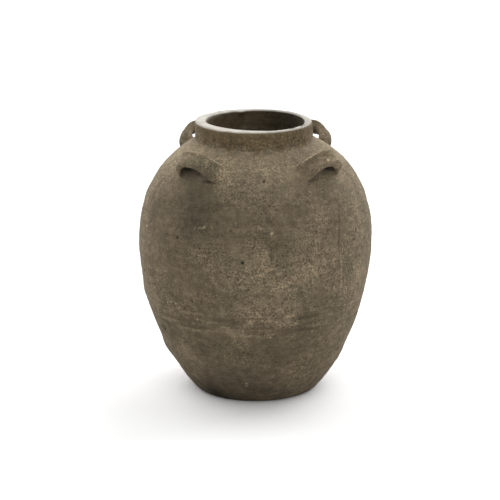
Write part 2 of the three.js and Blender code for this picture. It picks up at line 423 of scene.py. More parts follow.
def scratches(points):
    """Depth and tone that the scratches give to points of the outside."""
    radius = np.hypot(points[:, 0], points[:, 1])
    degrees = np.degrees(np.arctan2(points[:, 0], -points[:, 1]))
    pushed, tone = np.zeros(len(points)), np.zeros(len(points))
    for start, end, low, high, depth, shade in NOTED_SCRATCHES:
        turned = (degrees - start + 180) % 360 - 180
        here = np.stack([np.radians(turned) * radius, points[:, 2] - low * MM], 1)
        run_across = math.radians(end - start) * radius
        run = np.stack([run_across, np.full(len(points), (high - low) * MM)], 1)
        share = np.clip(np.sum(here * run, 1) / np.sum(run * run, 1), 0, 1)
        away = np.hypot(*(here - run * share[:, None]).T)
        fade = band(share, 0, SCRATCH_FADE, 1 - SCRATCH_FADE, 1)
        mark = fade * np.exp(-((away / SCRATCH_WIDTH) ** 2))
        pushed = np.maximum(pushed, depth * MM * mark)
        tone += shade * mark
    return pushed, tone


print("noted scratches:", len(NOTED_SCRATCHES))

# %% Relief of the outside and the inside
# Layers of lumps: height (mm), size (m) and seed.
WALL_LUMPS = (
    (0.50, 0.055, 1),
    (0.30, 0.024, 2),
    (0.20, 0.011, 3),
    (0.20, 0.0050, 4),
    (0.12, 0.0029, 8),
    (0.14, (0.10, 0.10, 0.0055), 5),
)
INSIDE_LUMPS = ((0.5, (0.2, 0.2, 0.007), 21), (0.35, 0.03, 22), (0.10, 0.006, 23))
NECK_LUMPS = ((0.25, (0.02, 0.02, 0.006), 7),)
NECK_LUMPS_FROM = (NECK_FOOT - 6 * MM, NECK_FOOT + 4 * MM)
SMOOTH_FOOT = 2 * MM
SCRAPE_HEIGHTS = (0.100, 0.108, 0.128, 0.138)
SCRAPE_SIZE = (0.036, 0.036, 0.0030)
SCRAPE_SEED = 6
SCRAPE_DEPTH = 0.38 * MM


def layered(points, layers):
    """Adds up layers of lumps."""
    return sum(height * MM * lumps(points, size, seed) for height, size, seed in layers)


def scraping(points):
    """Level lines from -1 to 1 in the band below the belly that was scraped, 0 away from it."""
    return band(points[:, 2], *SCRAPE_HEIGHTS) * lumps(points, SCRAPE_SIZE, SCRAPE_SEED)


def outside_relief(points):
    """Height of the clay above the plain outline, in metres, at points of the outside."""
    z = points[:, 2]
    neck = smooth_step(z, *NECK_LUMPS_FROM)
    relief = layered(points, WALL_LUMPS) + SCRAPE_DEPTH * scraping(points)
    relief += neck * layered(points, NECK_LUMPS)
    return relief * smooth_step(z, 0, SMOOTH_FOOT) - pit_depth(points) - scratches(points)[0]


def inside_relief(points):
    """Height of the clay above the plain inside: finger ridges from the wheel and soft lumps."""
    return layered(points, INSIDE_LUMPS)


belly = round_place(np.arange(360), np.full(360, BELLY_JOINT), BELLY_RADIUS)
sample = outside_relief(belly)
print("relief round the belly (mm):", np.round([sample.min() / MM, sample.max() / MM], 2))

# %% [markdown]
# ## Hand-made lean and a wobbly mouth
#
# The pot is not quite true: its axis wanders by a millimetre or two, and the mouth was pulled
# into a slightly three-cornered round. One function leans every piece, the lugs too, so the
# joints stay shut. A second one moves the inside of the neck alone.

# %% Bend the true shape a little
LEAN_HEIGHTS = np.array([0, 60, 110, 200, 260, 312, 334, 352]) * MM
LEAN_SHIFTS = np.array([0.9, 0.8, -1.0, -0.6, 0.5, 0.3, -1.5, -2.1]) * MM
MOUTH_SHIFT = (4.1 * MM, 1.2 * MM)
MOUTH_OVAL = (-0.3 * MM, 1.4 * MM)
MOUTH_GROWN = -0.5 * MM
MOUTH_THREE_CORNERS = 2.0 * MM
MOUTH_WOBBLES_FROM = (NECK_FOOT - 35 * MM, NECK_FOOT + 4 * MM)
LIP_NUB_DEGREES = -160
LIP_NUB = 3.6 * MM
LIP_NUB_WIDTH = 5 * MM
LIP_NUB_BELOW_TOP = 1.5 * MM
NOTED_SWELLS = (
    # degrees from the front, height, size and height of the swell (mm)
    (90, 232, 62, 2.2), (90, 165, 30, 1.1), (90, 108, 42, 2.2), (78, 44, 11, 1.6),
    (91, 246, 9, -0.9), (86, 196, 9, -0.6), (-93, 258, 9, 1), (-88, 208, 9, -0.7),
    (90, 300, 22, 2), (-90, 128, 22, 2.9), (-79, 57, 12, 2.7), (-76, 27, 14, -2.1),
    (-74, 11, 9, -1.2), (-90, 222, 25, -0.7), (-90, 314, 20, -0.8), (-128, 315, 16, -3),
    (170, 180, 60, 1.5),
)


def settle(points):
    """Leans and swells points the way the real pot does."""
    radius = np.hypot(points[:, 0], points[:, 1])
    swell = soft_spots(points, NOTED_SWELLS) * MM
    moved = points.copy()
    moved[:, :2] *= (1 + swell / np.maximum(radius, 20 * MM))[:, None]
    moved[:, 0] += np.interp(points[:, 2], LEAN_HEIGHTS, LEAN_SHIFTS)
    return moved


def wobble_mouth(points):
    """Moves points of the inside so that the mouth is as uneven as the real one."""
    angle = np.arctan2(points[:, 0], -points[:, 1])
    grown = MOUTH_OVAL[0] * np.cos(2 * angle) + MOUTH_OVAL[1] * np.sin(2 * angle) + MOUTH_GROWN
    grown += MOUTH_THREE_CORNERS * np.sin(3 * angle)
    share = smooth_step(points[:, 2], *MOUTH_WOBBLES_FROM)
    nub_place = round_place(LIP_NUB_DEGREES, TOTAL_HEIGHT - LIP_NUB_BELOW_TOP, MOUTH_RADIUS)
    grown = grown * share - LIP_NUB * round_spot(points, nub_place, LIP_NUB_WIDTH)
    moved = points.copy()
    moved[:, 0] += grown * np.sin(angle) + MOUTH_SHIFT[0] * share
    moved[:, 1] += -grown * np.cos(angle) + MOUTH_SHIFT[1] * share
    return moved


print("lean at the lip (mm):", LEAN_SHIFTS[-1] / MM)

# %% [markdown]
# ## Where the lugs stand
#
# Each lug stands square to the shoulder, its two feet side by side. Its place is needed twice:
# for the straps themselves, and for the shade that gathers on the shoulder under each arch.

# %% Frame of a lug
LUG_RING_RADIUS = 108 * MM
LUG_HALF_SPAN = 27 * MM
LUG_RISE = 25 * MM
STRAP_WIDTH = 20 * MM
STRAP_THICKNESS = 8 * MM
SLOPE_REACH = 8 * MM
LUG_DEGREES = {
    "lug_front_left": -39,
    "lug_front_right": 47,
    "lug_back_left": -140,
    "lug_back_right": 140,
}
SMEARED_FOOT = {"lug_front_left": 1, "lug_front_right": -1}


def shoulder_height(radius):
    """Height of the plain outside above the belly, at a radius."""
    above = OUTSIDE[(OUTSIDE[:, 1] > BELLY_JOINT) & (OUTSIDE[:, 1] < NECK_FOOT)][::-1]
    return np.interp(radius, above[:, 0], above[:, 1])


def lug_axes(degrees):
    """Foot centre, and the directions sideways, down the shoulder and out of the shoulder."""
    angle = math.radians(degrees)
    outward = np.array([math.sin(angle), -math.cos(angle), 0])
    side = np.array([math.cos(angle), math.sin(angle), 0])
    up = np.array([0, 0, 1.0])
    near, far = LUG_RING_RADIUS - SLOPE_REACH, LUG_RING_RADIUS + SLOPE_REACH
    fall = math.atan2(shoulder_height(near) - shoulder_height(far), far - near)
    stand = outward * math.sin(fall) + up * math.cos(fall)
    down = outward * math.cos(fall) - up * math.sin(fall)
    base = outward * LUG_RING_RADIUS + up * shoulder_height(LUG_RING_RADIUS)
    return base, side, down, stand


print("lug feet at height", round(float(shoulder_height(LUG_RING_RADIUS)), 4))

# %% [markdown]
# ## Kiln clouds
#
# A wood or charcoal fire leaves smoky clouds on bare clay, and the foot is darker, partly in its
# own colour and partly as painted shade. The broad clouds are laid as soft spots, each with a
# place, a size and a strength. They are kept in the mesh as one value per point, which the clay
# material reads.

# %% Broad clouds
NOTED_CLOUDS = (
    # degrees from the front, height, size (mm), strength
    # the lug ring and the shoulder under it
    (-80, 312, 22, 0.18), (-56, 322, 20, 0.42), (-53, 292, 24, -0.14), (-44, 326, 10, 0.22),
    (-34, 338, 12, 0.16), (-31, 291, 13, -0.1), (-28, 323, 10, 0.14), (-27, 297, 10, -0.18),
    (-25, 285, 11, 0.16), (-24, 306, 11, 0.34), (-22, 285, 22, -0.12), (-22, 300, 14, 0.14),
    (-21, 303, 11, 0.38), (-20, 314, 14, 0.18), (-20, 293, 13, 0.26), (-12, 292, 18, 0.05),
    (-9, 324, 7, 0.4), (0, 330, 20, 0.1), (4, 303, 26, 0.06), (4, 292, 12, 0.12),
    (8, 292, 24, 0.08), (12, 338, 20, 0.06), (17, 286, 10, 0.12), (24, 305, 14, 0.18),
    (30, 332, 26, 0.12), (32, 320, 14, -0.2), (43, 287, 17, -0.14), (47, 323, 13, -0.36),
    (52, 322, 20, 0.16), (60, 300, 16, 0.2),
    # over the belly
    (-84, 262, 20, 0.06), (-66, 252, 24, -0.24), (-57, 263, 16, -0.12), (-56, 215, 46, -0.08),
    (-46, 210, 18, -0.08), (-40, 205, 26, -0.08), (-36, 266, 34, -0.38), (-31, 272, 22, -0.08),
    (-28, 238, 26, -0.12), (-24, 209, 14, 0.12), (-17, 240, 18, -0.1), (-10, 240, 40, -0.05),
    (-8, 269, 10, 0.12), (-4, 272, 18, -0.14), (-2, 204, 30, 0.22), (1, 205, 12, 0.16),
    (3, 248, 26, -0.1), (12, 228, 20, -0.12), (12, 208, 10, -0.12), (13, 224, 11, -0.18),
    (20, 262, 20, -0.14), (23, 238, 22, 0.12), (26, 200, 20, 0.1), (41, 236, 12, -0.14),
    (47, 272, 26, -0.12), (58, 215, 20, 0.14), (64, 262, 22, 0.14),
    # under the belly
    (-62, 130, 26, 0.12), (-51, 152, 14, 0.1), (-44, 150, 12, -0.1), (-34, 178, 16, -0.08),
    (-30, 178, 24, -0.1), (-28, 110, 40, -0.1), (-27, 160, 12, -0.08), (-11, 118, 13, 0.1),
    (-6, 190, 18, 0.06), (-6, 158, 5, -0.3), (-4, 178, 13, 0.16), (-1, 139, 26, 0.1),
    (0, 166, 10, 0.1), (10, 172, 22, 0.1), (17, 190, 7, -0.14), (22, 178, 50, 0.1),
    (22, 160, 28, 0.18), (23, 164, 14, -0.1), (23, 161, 7, -0.22), (27, 118, 18, -0.22),
    (27, 186, 22, 0.1), (33, 150, 14, -0.1), (40, 196, 24, 0.12), (48, 140, 34, 0.1),
    (62, 175, 24, 0.12), (64, 177, 14, 0.24), (66, 160, 22, 0.14), (70, 190, 20, -0.1),
    # the foot
    (-62, 92, 18, -0.2), (-54, 98, 18, -0.12), (-49, 73, 14, 0.33), (-47, 33, 11, 0.32),
    (-42, 66, 14, 0.12), (-36, 7, 16, -0.32), (-34, 12, 32, -0.36), (-29, 84, 18, -0.18),
    (-19, 62, 9, -0.12), (-18, 84, 9, 0.14), (-16, 60, 32, -0.1), (-13, 52, 10, 0.12),
    (-8, 106, 11, 0.12), (-4, 40, 11, 0.08), (1, 27, 18, -0.24), (5, 97, 24, -0.17),
    (8, 78, 30, -0.13), (11, 19, 11, -0.16), (15, 105, 14, -0.1), (20, 60, 30, -0.06),
    (20, 77, 18, -0.18), (26, 28, 11, 0.16), (29, 40, 16, 0.2), (34, 100, 18, -0.16),
    (38, 9, 13, 0.24), (42, 104, 20, 0.1), (52, 108, 18, 0.16), (58, 55, 12, 0.22),
    # the back
    (-165, 275, 40, 0.14), (-120, 190, 44, -0.16), (110, 240, 40, -0.22), (130, 80, 36, 0.12),
    (160, 130, 46, -0.18),
)
print("noted clouds:", len(NOTED_CLOUDS))

# %% Small flecks of pale grit, and painted shade in dark pits
NOTED_FLECKS_AND_PIT_SHADE = (
    # degrees from the front, height, radius (mm), strength
    # The first five are painted shade in noted pits; the rest are pale flecks.
    (-6, 205.3, 1.4, -1.1), (-41, 227.5, 1.2, -1), (5, 299.1, 1.2, -1),
    (24.5, 200.9, 1.3, -0.8), (-61, 92.9, 1.3, -0.8), (8, 241.5, 1.5, 2.6), (1, 169, 1.3, 1.5),
    (-31, 243, 1.2, 1.2), (-26, 246, 1.2, 1.2), (-22, 246, 1.2, 1), (-50, 137, 1.3, 1.4),
    (-42, 134, 1.3, 1.2), (8.5, 201, 1.3, 0.5), (2.5, 190, 1.3, 1.4), (-43.5, 139.5, 1.5, 2),
    (-47.5, 139.5, 1.5, 1.6), (-30.5, 123.8, 1.3, 1.6), (17, 131.6, 1.8, 1),
    (19.5, 133, 1.3, 1.4), (21, 138.3, 1.5, 1), (-6.5, 33, 1.4, 1.8), (-6.5, 29, 1.4, 1.6),
    (-67, 282.5, 1.7, 1.6), (-68, 227.5, 1.7, 2.4), (23.5, 193, 1.2, 0.4), (-14, 236, 1, 0.4),
    (37, 214, 1.1, 0.4), (12, 150, 1.1, 0.4), (-24, 161, 1.1, 0.4), (-52, 178, 1.4, 0.4),
    (110, 210, 1.5, 0.6), (150, 160, 1.4, 0.6), (-130, 240, 1.5, 0.6), (-100, 120, 1.4, 0.6),
)
print("noted flecks:", len(NOTED_FLECKS_AND_PIT_SHADE))

# %% Tone of the outside
# Darker towards the foot: partly the clay's own colour, partly painted shade.
FOOT_DARK_CLAY_AND_SHADE = 0.22
FOOT_DARK_HEIGHTS = (4 * MM, 75 * MM)
# Lighter band on the shoulder: partly dust, partly painted light from above.
SHOULDER_DUST_AND_TOP_LIGHT = 0.17
DUST_AND_TOP_LIGHT_HEIGHTS = (0.282, 0.306, 0.322, NECK_FOOT)
# Pits are darkened in tone as painted shade, on top of their real depth.
PIT_SHADE = 0.62
DEEPEST_PIT = 1.3
SCRAPE_TONE = 0.34


def outside_tone_and_painted_light(points):
    """Lighter (above 0) or darker (below 0) clay at points of the outside, with painted shade and
    light mixed in.
    """
    tone = soft_spots(points, NOTED_CLOUDS + NOTED_FLECKS_AND_PIT_SHADE)
    z = points[:, 2]
    # Darker towards the foot: partly the clay's own colour, partly painted shade.
    tone -= FOOT_DARK_CLAY_AND_SHADE * (1 - smooth_step(z, *FOOT_DARK_HEIGHTS))
    # Lighter band on the shoulder: partly dust, partly painted light from above.
    tone += SHOULDER_DUST_AND_TOP_LIGHT * band(z, *DUST_AND_TOP_LIGHT_HEIGHTS) + SCRAPE_TONE * scraping(points)
    # Painted shade in the pits.
    tone -= PIT_SHADE * np.minimum(pit_depth(points) / MM, DEEPEST_PIT)
    return tone + scratches(points)[1]


print("lightest and darkest of the belly:", outside_tone_and_painted_light(belly).max(), outside_tone_and_painted_light(belly).min())

# %% [markdown]
# ## Soot under the lugs and inside
#
# Soft light can't reach far under an arch, so that shade is painted into the clay's tone: the
# shoulder is darkened inside each arch, in the deepest corner of the two front ones, and in
# the crease beside each smeared foot. Each shade is a soft box in the lug's own directions.
# The inside of the pot is darkened with painted shade as well.

# %% Shade under the lugs
# Painted shade under each arch, in the order of LUG_DEGREES.
UNDER_ARCH = dict(zip(LUG_DEGREES, (0.75, 0.22, 0.60, 0.60)))
UNDER_ARCH_ACROSS = 0.72 * LUG_HALF_SPAN
UNDER_ARCH_ALONG = 0.44 * STRAP_WIDTH
UNDER_ARCH_LEVEL = 0.4 * LUG_RISE
ARCH_SHADE_DEEPER = 1.5 * MM
# Painted shade in the deepest corner under each front arch.
DEEP_CORNERS = {
    # across and down from the lug's middle, half sizes (mm), slant, strength
    "lug_front_left": (-18, -1, 12, 7, 0.0, 1.10),
    "lug_front_right": (13, 0.5, 12.5, 4.5, 0.28, 1.20),
}
# Painted shade in the crease beside each smeared foot.
CREASE_SHADE = 0.60
CREASE_LEVEL = 12.5 * MM
CREASE_WIDTH = 1.7 * MM
CREASE_ENDS = (0.25, 0.6, 0.95, 1.15)


def deep_corner(node, across, along):
    """The darkest painted shade under a front lug's arch."""
    at_across, at_down, half_across, half_down, slant, strength = DEEP_CORNERS[node]
    from_across = across - at_across * MM
    from_down = along - at_down * MM - slant * from_across
    off = (from_across / half_across / MM) ** 4 + (from_down / half_down / MM) ** 2
    return strength * np.exp(-off)


def arch_shade(points):
    """Painted shade on the shoulder inside each lug's arch, and in the crease of a smeared foot."""
    shade = np.zeros(len(points))
    for node, degrees in LUG_DEGREES.items():
        base, side, down, stand = lug_axes(degrees)
        across, along, level = ((points - base) @ axis for axis in (side, down, stand))
        along_arch = (along + ARCH_SHADE_DEEPER) / UNDER_ARCH_ALONG
        spot = UNDER_ARCH[node] * np.exp(-((across / UNDER_ARCH_ACROSS) ** 4) - along_arch**4)
        if node in DEEP_CORNERS:
            spot = np.maximum(spot, deep_corner(node, across, along))
        reach = across / LUG_HALF_SPAN * SMEARED_FOOT.get(node, 0)
        crease = CREASE_SHADE * band(reach, *CREASE_ENDS)
        crease *= np.exp(-(((along - CREASE_LEVEL) / CREASE_WIDTH) ** 2))
        near = np.exp(-((level / UNDER_ARCH_LEVEL) ** 2))
        shade = np.maximum(shade, np.maximum(spot, crease) * near)
    return -shade


print("shade on the belly:", round(float(arch_shade(belly).min()), 3))

# %% Painted shade of the inside, and how tones are kept
# Painted shade inside the pot: all over, more with depth, and more on the right.
INSIDE_SHADE = 0.32
INSIDE_DEPTH_SHADE = 0.18
INSIDE_RIGHT_SHADE = 0.34
INSIDE_DARK_AT = 90 * MM
INSIDE_RIGHT = (-5 * MM, 30 * MM)
TONE_LIMITS = (-0.95, 3)


def inside_painted_shade(points):
    """Painted shade on the inside, darker with depth and a little more on the right."""
    depth = smooth_step(TOTAL_HEIGHT - points[:, 2], 0, INSIDE_DARK_AT)
    side = smooth_step(points[:, 0], *INSIDE_RIGHT)
    return -INSIDE_SHADE - INSIDE_DEPTH_SHADE * depth - INSIDE_RIGHT_SHADE * side


def keep_values(piece, name, values):
    """Stores one value per point of a piece for its material."""
    kept = piece.data.attributes.new(name, "FLOAT", "POINT")
    kept.data.foreach_set("value", np.clip(values, *TONE_LIMITS).astype(np.float32))


print("tone at the bottom inside:", inside_painted_shade(np.array([[0, 0, FLOOR_TOP]])).round(2))

# %% [markdown]
# ## Wall rings
#
# Each ring is a closed loop: up the outside, across a stepped joint, down the inside and back
# across the joint below. Spinning its outline in small steps gives a mesh fine enough to hold
# the relief as real shape. The joint's edges are marked sharp, so that the smooth shading of
# the wall doesn't bend round them.

# %% Join rings of points into a skin
ON_OUTSIDE, ON_INSIDE, ON_JOINT = 0, 1, 2


def sharpen_joints(mesh, kinds, per_ring):
    """Marks the rings where the wall turns into a joint's face as sharp edges."""
    is_joint = kinds == ON_JOINT
    edge_ring = is_joint | np.roll(is_joint, 1) | np.roll(is_joint, -1)
    pairs = np.empty(len(mesh.edges) * 2, np.int32)
    mesh.edges.foreach_get("vertices", pairs)
    ring = pairs.reshape(-1, 2) // per_ring
    same = ring[:, 0] == ring[:, 1]
    ring = np.minimum(ring[:, 0], len(kinds) - 1)
    sharp = mesh.attributes.new("sharp_edge", "BOOLEAN", "EDGE")
    sharp.data.foreach_set("value", same & edge_ring[ring])


def skin_rings(name, points, rings, per_ring, closed, kinds=None):
    """Joins rings of points with quads, and closes the ends with fans if the rings stay open."""
    column = np.arange(per_ring)
    after = (column + 1) % per_ring
    faces = []
    for ring in range(rings if closed else rings - 1):
        low, high = ring * per_ring, ((ring + 1) % rings) * per_ring
        faces.append(np.stack([low + column, low + after, high + after, high + column], 1))
    faces = np.concatenate(faces).tolist()
    ends = []
    if not closed:
        for ring, turn in ((0, -1), (rings - 1, 1)):
            middle = len(points) + len(ends)
            ends.append(points[ring * per_ring : (ring + 1) * per_ring].mean(axis=0).tolist())
            for i in range(per_ring):
                a, b = ring * per_ring + i, ring * per_ring + (i + 1) % per_ring
                faces.append((middle, a, b) if turn > 0 else (middle, b, a))
    mesh = bpy.data.meshes.new(name)
    mesh.from_pydata(points.tolist() + ends, [], faces)
    mesh.shade_smooth()
    if kinds is not None:
        sharpen_joints(mesh, kinds, per_ring)
    return add_object(name, mesh)


print("surface kinds:", {"outside": ON_OUTSIDE, "inside": ON_INSIDE, "joint": ON_JOINT})

# %% Spin an outline into a skin
TURNS = 640


def labelled(rows, kind):
    """Adds the kind of surface to rows of (radius, height, normal)."""
    return np.concatenate([rows, np.full((len(rows), 1), kind)], 1)


def joint_rows(*points):
    """Rows on a joint's hidden faces, which stay as they were cut."""
    return np.array([[r, z, 0, 0, ON_JOINT] for r, z in points])


def spin(name, rows, closed=True):
    """Spins rows about the axis into a mesh object. An open outline starts and ends on the axis."""
    angle = np.arange(TURNS) * 2 * math.pi / TURNS
    r, z, nr, nz, kind = (np.repeat(rows[:, i], TURNS) for i in range(5))
    sine, cosine = np.tile(np.sin(angle), len(rows)), np.tile(-np.cos(angle), len(rows))
    points = np.stack([r * sine, r * cosine, z], 1)
    normals = np.stack([nr * sine, nr * cosine, nz], 1)
    outer, inner = kind == ON_OUTSIDE, kind == ON_INSIDE
    tone = np.full(len(points), -INSIDE_SHADE)
    relief = np.zeros(len(points))
    if outer.any():
        relief[outer] = outside_relief(points[outer])
        tone[outer] = outside_tone_and_painted_light(points[outer]) + arch_shade(points[outer])
    if inner.any():
        relief[inner] = inside_relief(points[inner])
        tone[inner] = inside_painted_shade(points[inner])
    points += normals * relief[:, None]
    points[inner] = wobble_mouth(points[inner])
    piece = skin_rings(name, settle(points), len(rows), TURNS, closed, rows[:, 4])
    if not closed:
        tone = np.concatenate([tone, [-INSIDE_SHADE, -INSIDE_SHADE]])
    keep_values(piece, "tone", tone)
    return piece


print("turns:", TURNS, "widest face (mm):", round(2 * math.pi * BELLY_RADIUS / TURNS / MM, 2))

# %% Build the floor and the wall rings
UNDERSIDE_RINGS = (0.25, 0.6, 0.92)
FLOOR_ROW = 4 * MM


def step_radius(z):
    """Middle of the wall at a joint, where its step stands."""
    outer = at_height(OUTSIDE, OUTSIDE, z)[0]
    return (outer + at_height(INSIDE, INSIDE, z + STEP)[0]) / 2


def wall_ring(name, low, high):
    """A wall ring between two joints."""
    outer = labelled(stretch(OUTSIDE, OUTSIDE_NORMAL, low, high), ON_OUTSIDE)
    inner = labelled(stretch(INSIDE, INSIDE_NORMAL, low + STEP, high + STEP)[::-1], ON_INSIDE)
    top, under = step_radius(high), step_radius(low)
    rows = [
        outer,
        joint_rows((top, high), (top, high + STEP)),
        inner,
        joint_rows((under, low + STEP), (under, low)),
    ]
    return spin(name, np.concatenate(rows))


def floor_slab():
    """The floor disc, with the step that the foot ring stands round."""
    outer = labelled(stretch(OUTSIDE, OUTSIDE_NORMAL, 0, SLAB_JOINT), ON_OUTSIDE)
    step = step_radius(SLAB_JOINT)
    inner_edge = at_height(INSIDE, INSIDE, FLOOR_TOP)[0]
    underside = [(share * FOOT_RADIUS, 0) for share in UNDERSIDE_RINGS]
    floor_radii = np.arange(inner_edge, FLOOR_ROW, -FLOOR_ROW)
    floor = np.array([[radius, FLOOR_TOP, 0, 1, ON_INSIDE] for radius in floor_radii])
    rows = [
        joint_rows(*underside),
        outer,
        joint_rows((step, SLAB_JOINT), (step, FLOOR_TOP)),
        floor,
    ]
    return spin("base_slab_clay", np.concatenate(rows), closed=False)


pieces = {"base_slab": floor_slab()}
for node, low, high in zip(RING_NODES[:-1], JOINTS[:-1], JOINTS[1:]):
    pieces[node] = wall_ring(node + "_clay", low, high)
for node, piece in pieces.items():
    print(node, len(piece.data.polygons), "faces")

# %% [markdown]
# ## The lip
#
# The last coil closes the mouth. It is flat on top, where it was cut level, and rounded over at
# both edges by a wet finger. Hands and lids have rubbed its top pale, most of all on the left.
# How far each point is rubbed is kept beside its tone, and the lip's material mixes it in.

# %% Build the lip coil
LIP_WORN_DEGREES = -102
LIP_WORN_WIDTH = 26
LIP_RUB_LEAST = 0.88
LIP_WORN_INSIDE = 0.5
# Where each rub starts to fade and ends, in mm below the top.
OUTER_RUB, INNER_RUB, WORN_RUB = (0.4, 1.8), (0.8, 2.2), (1.0, 6.5)


def lip_rub(rows):
    """How far each point of the lip is rubbed pale: the top, and deeper inside on the left."""
    radius, z, _, _, kind = rows.T
    deep = (TOTAL_HEIGHT - z) / MM
    outer_side = 1 - smooth_step(deep, *OUTER_RUB)
    inner_side = 1 - smooth_step(deep, *INNER_RUB)
    worn_side = LIP_WORN_INSIDE * (1 - smooth_step(deep, *WORN_RUB))
    degrees = np.arange(TURNS) * 360 / TURNS
    from_worn = (degrees - LIP_WORN_DEGREES + 180) % 360 - 180
    worn = np.exp(-((from_worn / LIP_WORN_WIDTH) ** 2))
    rub = np.where(kind == ON_INSIDE, inner_side, outer_side)[:, None] * np.ones(TURNS)
    inside = (kind == ON_INSIDE)[:, None]
    rub = np.where(inside, np.maximum(rub, worn_side[:, None] * worn), rub)
    return (rub * (LIP_RUB_LEAST + (1 - LIP_RUB_LEAST) * worn)).ravel()


def lip_coil():
    """The coil that finishes the mouth, rounded over at both edges and flat on top."""
    outer_centre = (NECK_RADIUS - LIP_OUTER_ROUNDING, TOTAL_HEIGHT - LIP_OUTER_ROUNDING)
    inner_centre = (MOUTH_RADIUS + LIP_INNER_ROUNDING, TOTAL_HEIGHT - LIP_INNER_ROUNDING)
    side = stretch(OUTSIDE, OUTSIDE_NORMAL, LIP_JOINT, outer_centre[1])
    outer_edge = arc(outer_centre, LIP_OUTER_ROUNDING, 0, math.pi / 2, row=ROW / 3)
    inner_edge = arc(inner_centre, LIP_INNER_ROUNDING, math.pi / 2, math.pi, row=ROW / 3)
    top = straight(outer_edge[-1], inner_edge[0], row=ROW / 2)[1:-1]
    outer_turn = (outer_edge[1:] - outer_centre) / LIP_OUTER_ROUNDING
    inner_turn = (inner_edge - inner_centre) / LIP_INNER_ROUNDING
    half = len(top) // 2
    top = np.concatenate([top, np.tile([0.0, 1.0], (len(top), 1))], 1)
    inner = stretch(INSIDE, INSIDE_NORMAL, LIP_JOINT + STEP, inner_centre[1])[::-1][1:]
    step = step_radius(LIP_JOINT)
    rows = [
        labelled(side, ON_OUTSIDE),
        labelled(np.concatenate([outer_edge[1:], outer_turn], 1), ON_OUTSIDE),
        labelled(top[:half], ON_OUTSIDE),
        labelled(top[half:], ON_INSIDE),
        labelled(np.concatenate([inner_edge, inner_turn], 1), ON_INSIDE),
        labelled(inner, ON_INSIDE),
        joint_rows((step, LIP_JOINT + STEP), (step, LIP_JOINT)),
    ]
    rows = np.concatenate(rows)
    coil = spin("lip_ring_clay", rows)
    keep_values(coil, "rubbed", lip_rub(rows))
    return coil


pieces["lip_ring"] = lip_coil()
print("lip_ring", len(pieces["lip_ring"].data.polygons), "faces")

# %% [markdown]
# ## Strap lugs
#
# A lug is a pulled strap of clay bent into an arch and pressed on, its feet side by side round
# the shoulder. The potter thumbs the feet out until they melt into the wall. So the strap is a
# swept oval that thickens towards its feet, and each foot ends in a fillet that follows the
# lumpy shoulder right down to where it sinks in.

# %% Sweep a strap
STRAP_AROUND = 60
ARCH_STEPS = 88
FOOT_STEPS = 9
STRAP_SQUARENESS = 0.55
FOOT_WIDEN = 1.2
FOOT_PRESS = 6
FINGER_GROOVE = 0.7 * MM
GROOVE_WIDTH = 0.6
# Thickness outside and inside the arch (mm), from the foot on the right to that on the left.
OUTER_SIDE = {
    "lug_front_left": (6.5, 3.5, 3.7, 4.0, 3.7, 3.5, 5.0),
    "lug_front_right": (1.0, 3.0, 3.7, 4.0, 3.7, 3.5, 3.5),
    "lug_back_left": (4.1, 3.6, 3.8, 2.5, 4.0, 5.0),
    "lug_back_right": (5.0, 4.0, 5.0, 6.0, 8.0, 2.5),
}
INNER_SIDE = {
    "lug_front_left": (18.8, 14.9, 11.0, 8.0, 6.8, 6.0, 1.5),
    "lug_front_right": (4.0, 13.0, 15.3, 12.5, 7.4, 3.6, 3.0),
    "lug_back_left": (5.5, 8.5, 10.5, 11.0, 6.0, 6.0),
    "lug_back_right": (6.0, 6.0, 11.0, 10.0, 8.0, 5.1),
}


def squared(value):
    """Pushes a sine or cosine outwards, so that an oval section gets flatter faces."""
    return np.sign(value) * np.abs(value) ** STRAP_SQUARENESS


def steered(values, share):
    """A smooth curve pulled towards evenly spaced values, read at shares from 0 to 1."""
    last = len(values) - 1
    pulls = [math.comb(last, k) * share**k * (1 - share) ** (last - k) for k in range(last + 1)]
    return sum(value * pull for value, pull in zip(values, pulls))


def strap_arch(node):
    """Across, along and level of the strap's rings, as grids of ring by point."""
    turn = np.linspace(0, math.pi, ARCH_STEPS + 1)[:, None]
    around = np.linspace(0, 2 * math.pi, STRAP_AROUND, endpoint=False)[None]
    press = np.cos(turn) ** FOOT_PRESS
    groove = np.exp(-((np.sin(around) / GROOVE_WIDTH) ** 2))
    groove = 1 - FINGER_GROOVE / STRAP_THICKNESS * 2 * groove
    outer = steered(OUTER_SIDE[node], turn / math.pi) * MM * groove
    inner = steered(INNER_SIDE[node], turn / math.pi) * MM
    thick = np.where(np.cos(around) > 0, outer, inner) * squared(np.cos(around))
    wide = STRAP_WIDTH / 2 * (1 + (FOOT_WIDEN - 1) * press) * squared(np.sin(around))
    out_x, out_z = np.cos(turn) / LUG_HALF_SPAN, np.sin(turn) / LUG_RISE
    length = np.hypot(out_x, out_z)
    across = LUG_HALF_SPAN * np.cos(turn) + out_x / length * thick
    level = LUG_RISE * np.sin(turn) + out_z / length * thick
    return across, wide, level


print("span between a lug's feet (mm):", 2 * LUG_HALF_SPAN / MM)

# %% Find the shoulder under a strap
LOWEST_GROUND, HIGHEST_GROUND = -60 * MM, 30 * MM
HALVINGS = 26


def on_shoulder(axes, across, along):
    """Points of the plain shoulder, straight under places given sideways and down."""
    base, side, down, stand = axes
    flat = base + np.outer(across.ravel(), side) + np.outer(along.ravel(), down)
    low, high = np.full(len(flat), LOWEST_GROUND), np.full(len(flat), HIGHEST_GROUND)
    for _ in range(HALVINGS):
        middle = (low + high) / 2
        points = flat + np.outer(middle, stand)
        outside = np.hypot(points[:, 0], points[:, 1]) > outside_radius(points[:, 2])
        high, low = np.where(outside, middle, high), np.where(outside, low, middle)
    points = flat + np.outer(low, stand)
    return low.reshape(across.shape), points


